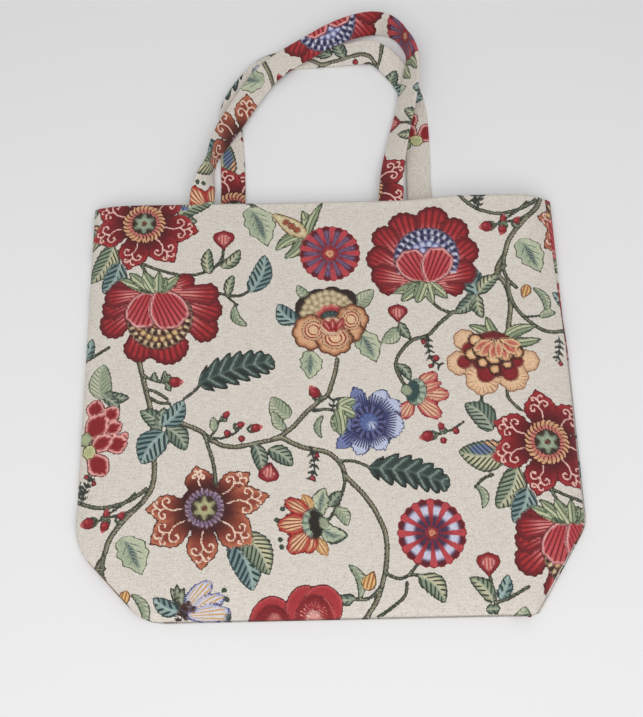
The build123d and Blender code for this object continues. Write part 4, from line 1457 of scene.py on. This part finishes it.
front_end_level = bag_top - cloth_thick - strap_clearance - strap_thick / 2
back_end_level = cloth_thick + strap_clearance + strap_thick / 2
front_strap, places, around = strap_mesh("front_strap", front_stations, front_handle_middle, front_end_level)
dress_strap(front_strap, places, around, front_strap_cut[0] + places[-1] - strap_tuck, front_strap_cut[1])
stand_for(front_strap, "front_handle")
back_strap, places, around = strap_mesh("back_strap", back_stations, back_handle_middle, back_end_level)
dress_strap(back_strap, places, around, back_strap_cut[0] + strap_tuck, back_strap_cut[1])
stand_for(back_strap, "back_handle")

# Lining: two thin sheets of plain cotton inside the bag, sewn in at the mouth. They stop above
# the pushed-in base and bulge inwards round the tucked strap ends.
lining_thick = 0.6
lining_depth = 2.0               # outer face of the bag to the lining
lining_start = 2.0               # its sewn edge, below the mouth
lining_end = 3.0                 # its lower edge, above the pleat's root
lining_cell = 4.0
bulge_room = 0.9                 # room between a strap end and the lining round it
bulge_side = 9.0                 # width over which a bulge dies out beside the strap end
bulge_below = (44.0, 30.0)       # and the stretch below the mouth over which it does
cotton_pitch = 0.5
cotton_dark, cotton_light = (205, 198, 182), (228, 222, 208)


def lining_sheet(name, outer, middle):
    """A sheet that follows the inside of one panel's grid, pushed inwards round the panel's strap ends."""
    y = outer[..., 1]
    facing = grid_normals(outer)
    bulge = np.zeros(y.shape)
    for side in (-1, 1):
        from_end = np.abs(outer[..., 0] - middle - side * handle_spacing / 2)
        bulge += 1 - ramp(from_end, strap_width / 2, strap_width / 2 + bulge_side)
    bulge *= ramp(y, mouth_y - bulge_below[0], mouth_y - bulge_below[1])
    face = outer - lining_depth * facing - (strap_thick + bulge_room) * bulge[..., None] * facing
    rows = (y.max(1) < mouth_y - lining_start) & (y.min(1) > base_y + pleat_depth + lining_end)
    return cloth_shell(name, face[rows], face[rows] - lining_thick * facing[rows], 1)


def cotton_material(name):
    """Plain natural cotton: a fine even weave with a little unevenness in its colour."""
    material, tree, shader = cloth_material(name, {"Roughness": 0.9, "Specular IOR Level": 0.2})
    own_place = add_node(tree, "ShaderNodeTexCoord", output=3)
    place = add_node(tree, "ShaderNodeVectorMath", {0: own_place, "Scale": 1000.0}, operation="SCALE")
    height, _, slub = placed_group(tree, threads, place, cotton_pitch)
    bump = add_node(tree, "ShaderNodeBump", {"Height": height, "Strength": 0.4, "Distance": 0.0002})
    colour = blend(tree, slub, yarn_light(cotton_dark), yarn_light(cotton_light))
    tree.links.new(colour, shader.inputs["Base Color"])
    tree.links.new(bump, shader.inputs["Normal"])
    return material


cotton = cotton_material("cotton")
front_rows = whole_steps(mouth_y - base_y + front_rise / 2, lining_cell, 1)
front_face = front_grid(lining_cell, 1)[:front_rows]
front_inside = lining_sheet("front_inside", front_face, front_handle_middle)
back_rows = whole_steps(mouth_y - base_y + seam_level / 2, lining_cell, 1)
back_face = back_grid(lining_cell, 1)[:back_rows, turn_steps:]
back_inside = lining_sheet("back_inside", back_face, back_handle_middle)
front_inside.data.materials.append(cotton)
back_inside.data.materials.append(cotton)
stand_for(front_inside, "front_lining")
stand_for(back_inside, "back_lining")

# Table: a plain pale surface, in matt white paper. It keeps the bag's soft shadow, and shows
# almost white where the light is full. Its half width is in metres.
table_half = 6.0
paper_white = (0.80, 0.80, 0.80, 1)
table_mesh = bpy.data.meshes.new("table")
table_corners = [(x * table_half, y * table_half, 0) for x, y in ((-1, -1), (1, -1), (1, 1), (-1, 1))]
table_mesh.from_pydata(table_corners, [], [(0, 1, 2, 3)])
table = placed_object("table", table_mesh)
paper, _, _ = cloth_material("table_paper", {"Base Color": paper_white, "Roughness": 0.9})
table.data.materials.append(paper)

# Light: an even bright room, and one large soft lamp over the base of the bag. The lamp's place
# and size are in metres.
room_colour = (0.99, 0.99, 1.0, 1)
room_strength = 0.52
lamp_power = 16
lamp_size = 1.6
lamp_place = (0.0, -0.65, 1.3)
room = bpy.data.worlds.new("room")
bpy.context.scene.world = room
room.use_nodes = True
room.node_tree.nodes["Background"].inputs["Color"].default_value = room_colour
room.node_tree.nodes["Background"].inputs["Strength"].default_value = room_strength


def aimed_object(name, data, place, target):
    """A lamp or camera at a place in metres, turned so that it looks at the target."""
    made = placed_object(name, data)
    made.location = place
    made.rotation_euler = (Vector(target) - made.location).to_track_quat("-Z", "Y").to_euler()
    return made


lamp_data = bpy.data.lights.new("window_light", "AREA")
lamp_data.energy = lamp_power
lamp_data.size = lamp_size
aimed_object("window_light", lamp_data, lamp_place, (0, 0, 0))

# Camera: above the bag and a little towards its base, as in the photograph, with a 50 mm lens.
# Its place and what it looks at are in metres.
camera_place = (-0.0104, -0.2505, 0.8264)
camera_target = (-0.00439, 0.0388, 0)
lens_length = 50
sensor_height = 36
camera_data = bpy.data.cameras.new("camera")
camera_data.lens = lens_length
camera_data.sensor_fit = "VERTICAL"
camera_data.sensor_height = sensor_height
camera = aimed_object("camera", camera_data, camera_place, camera_target)
bpy.context.scene.camera = camera
bpy.context.scene.view_settings.view_transform = "Standard"
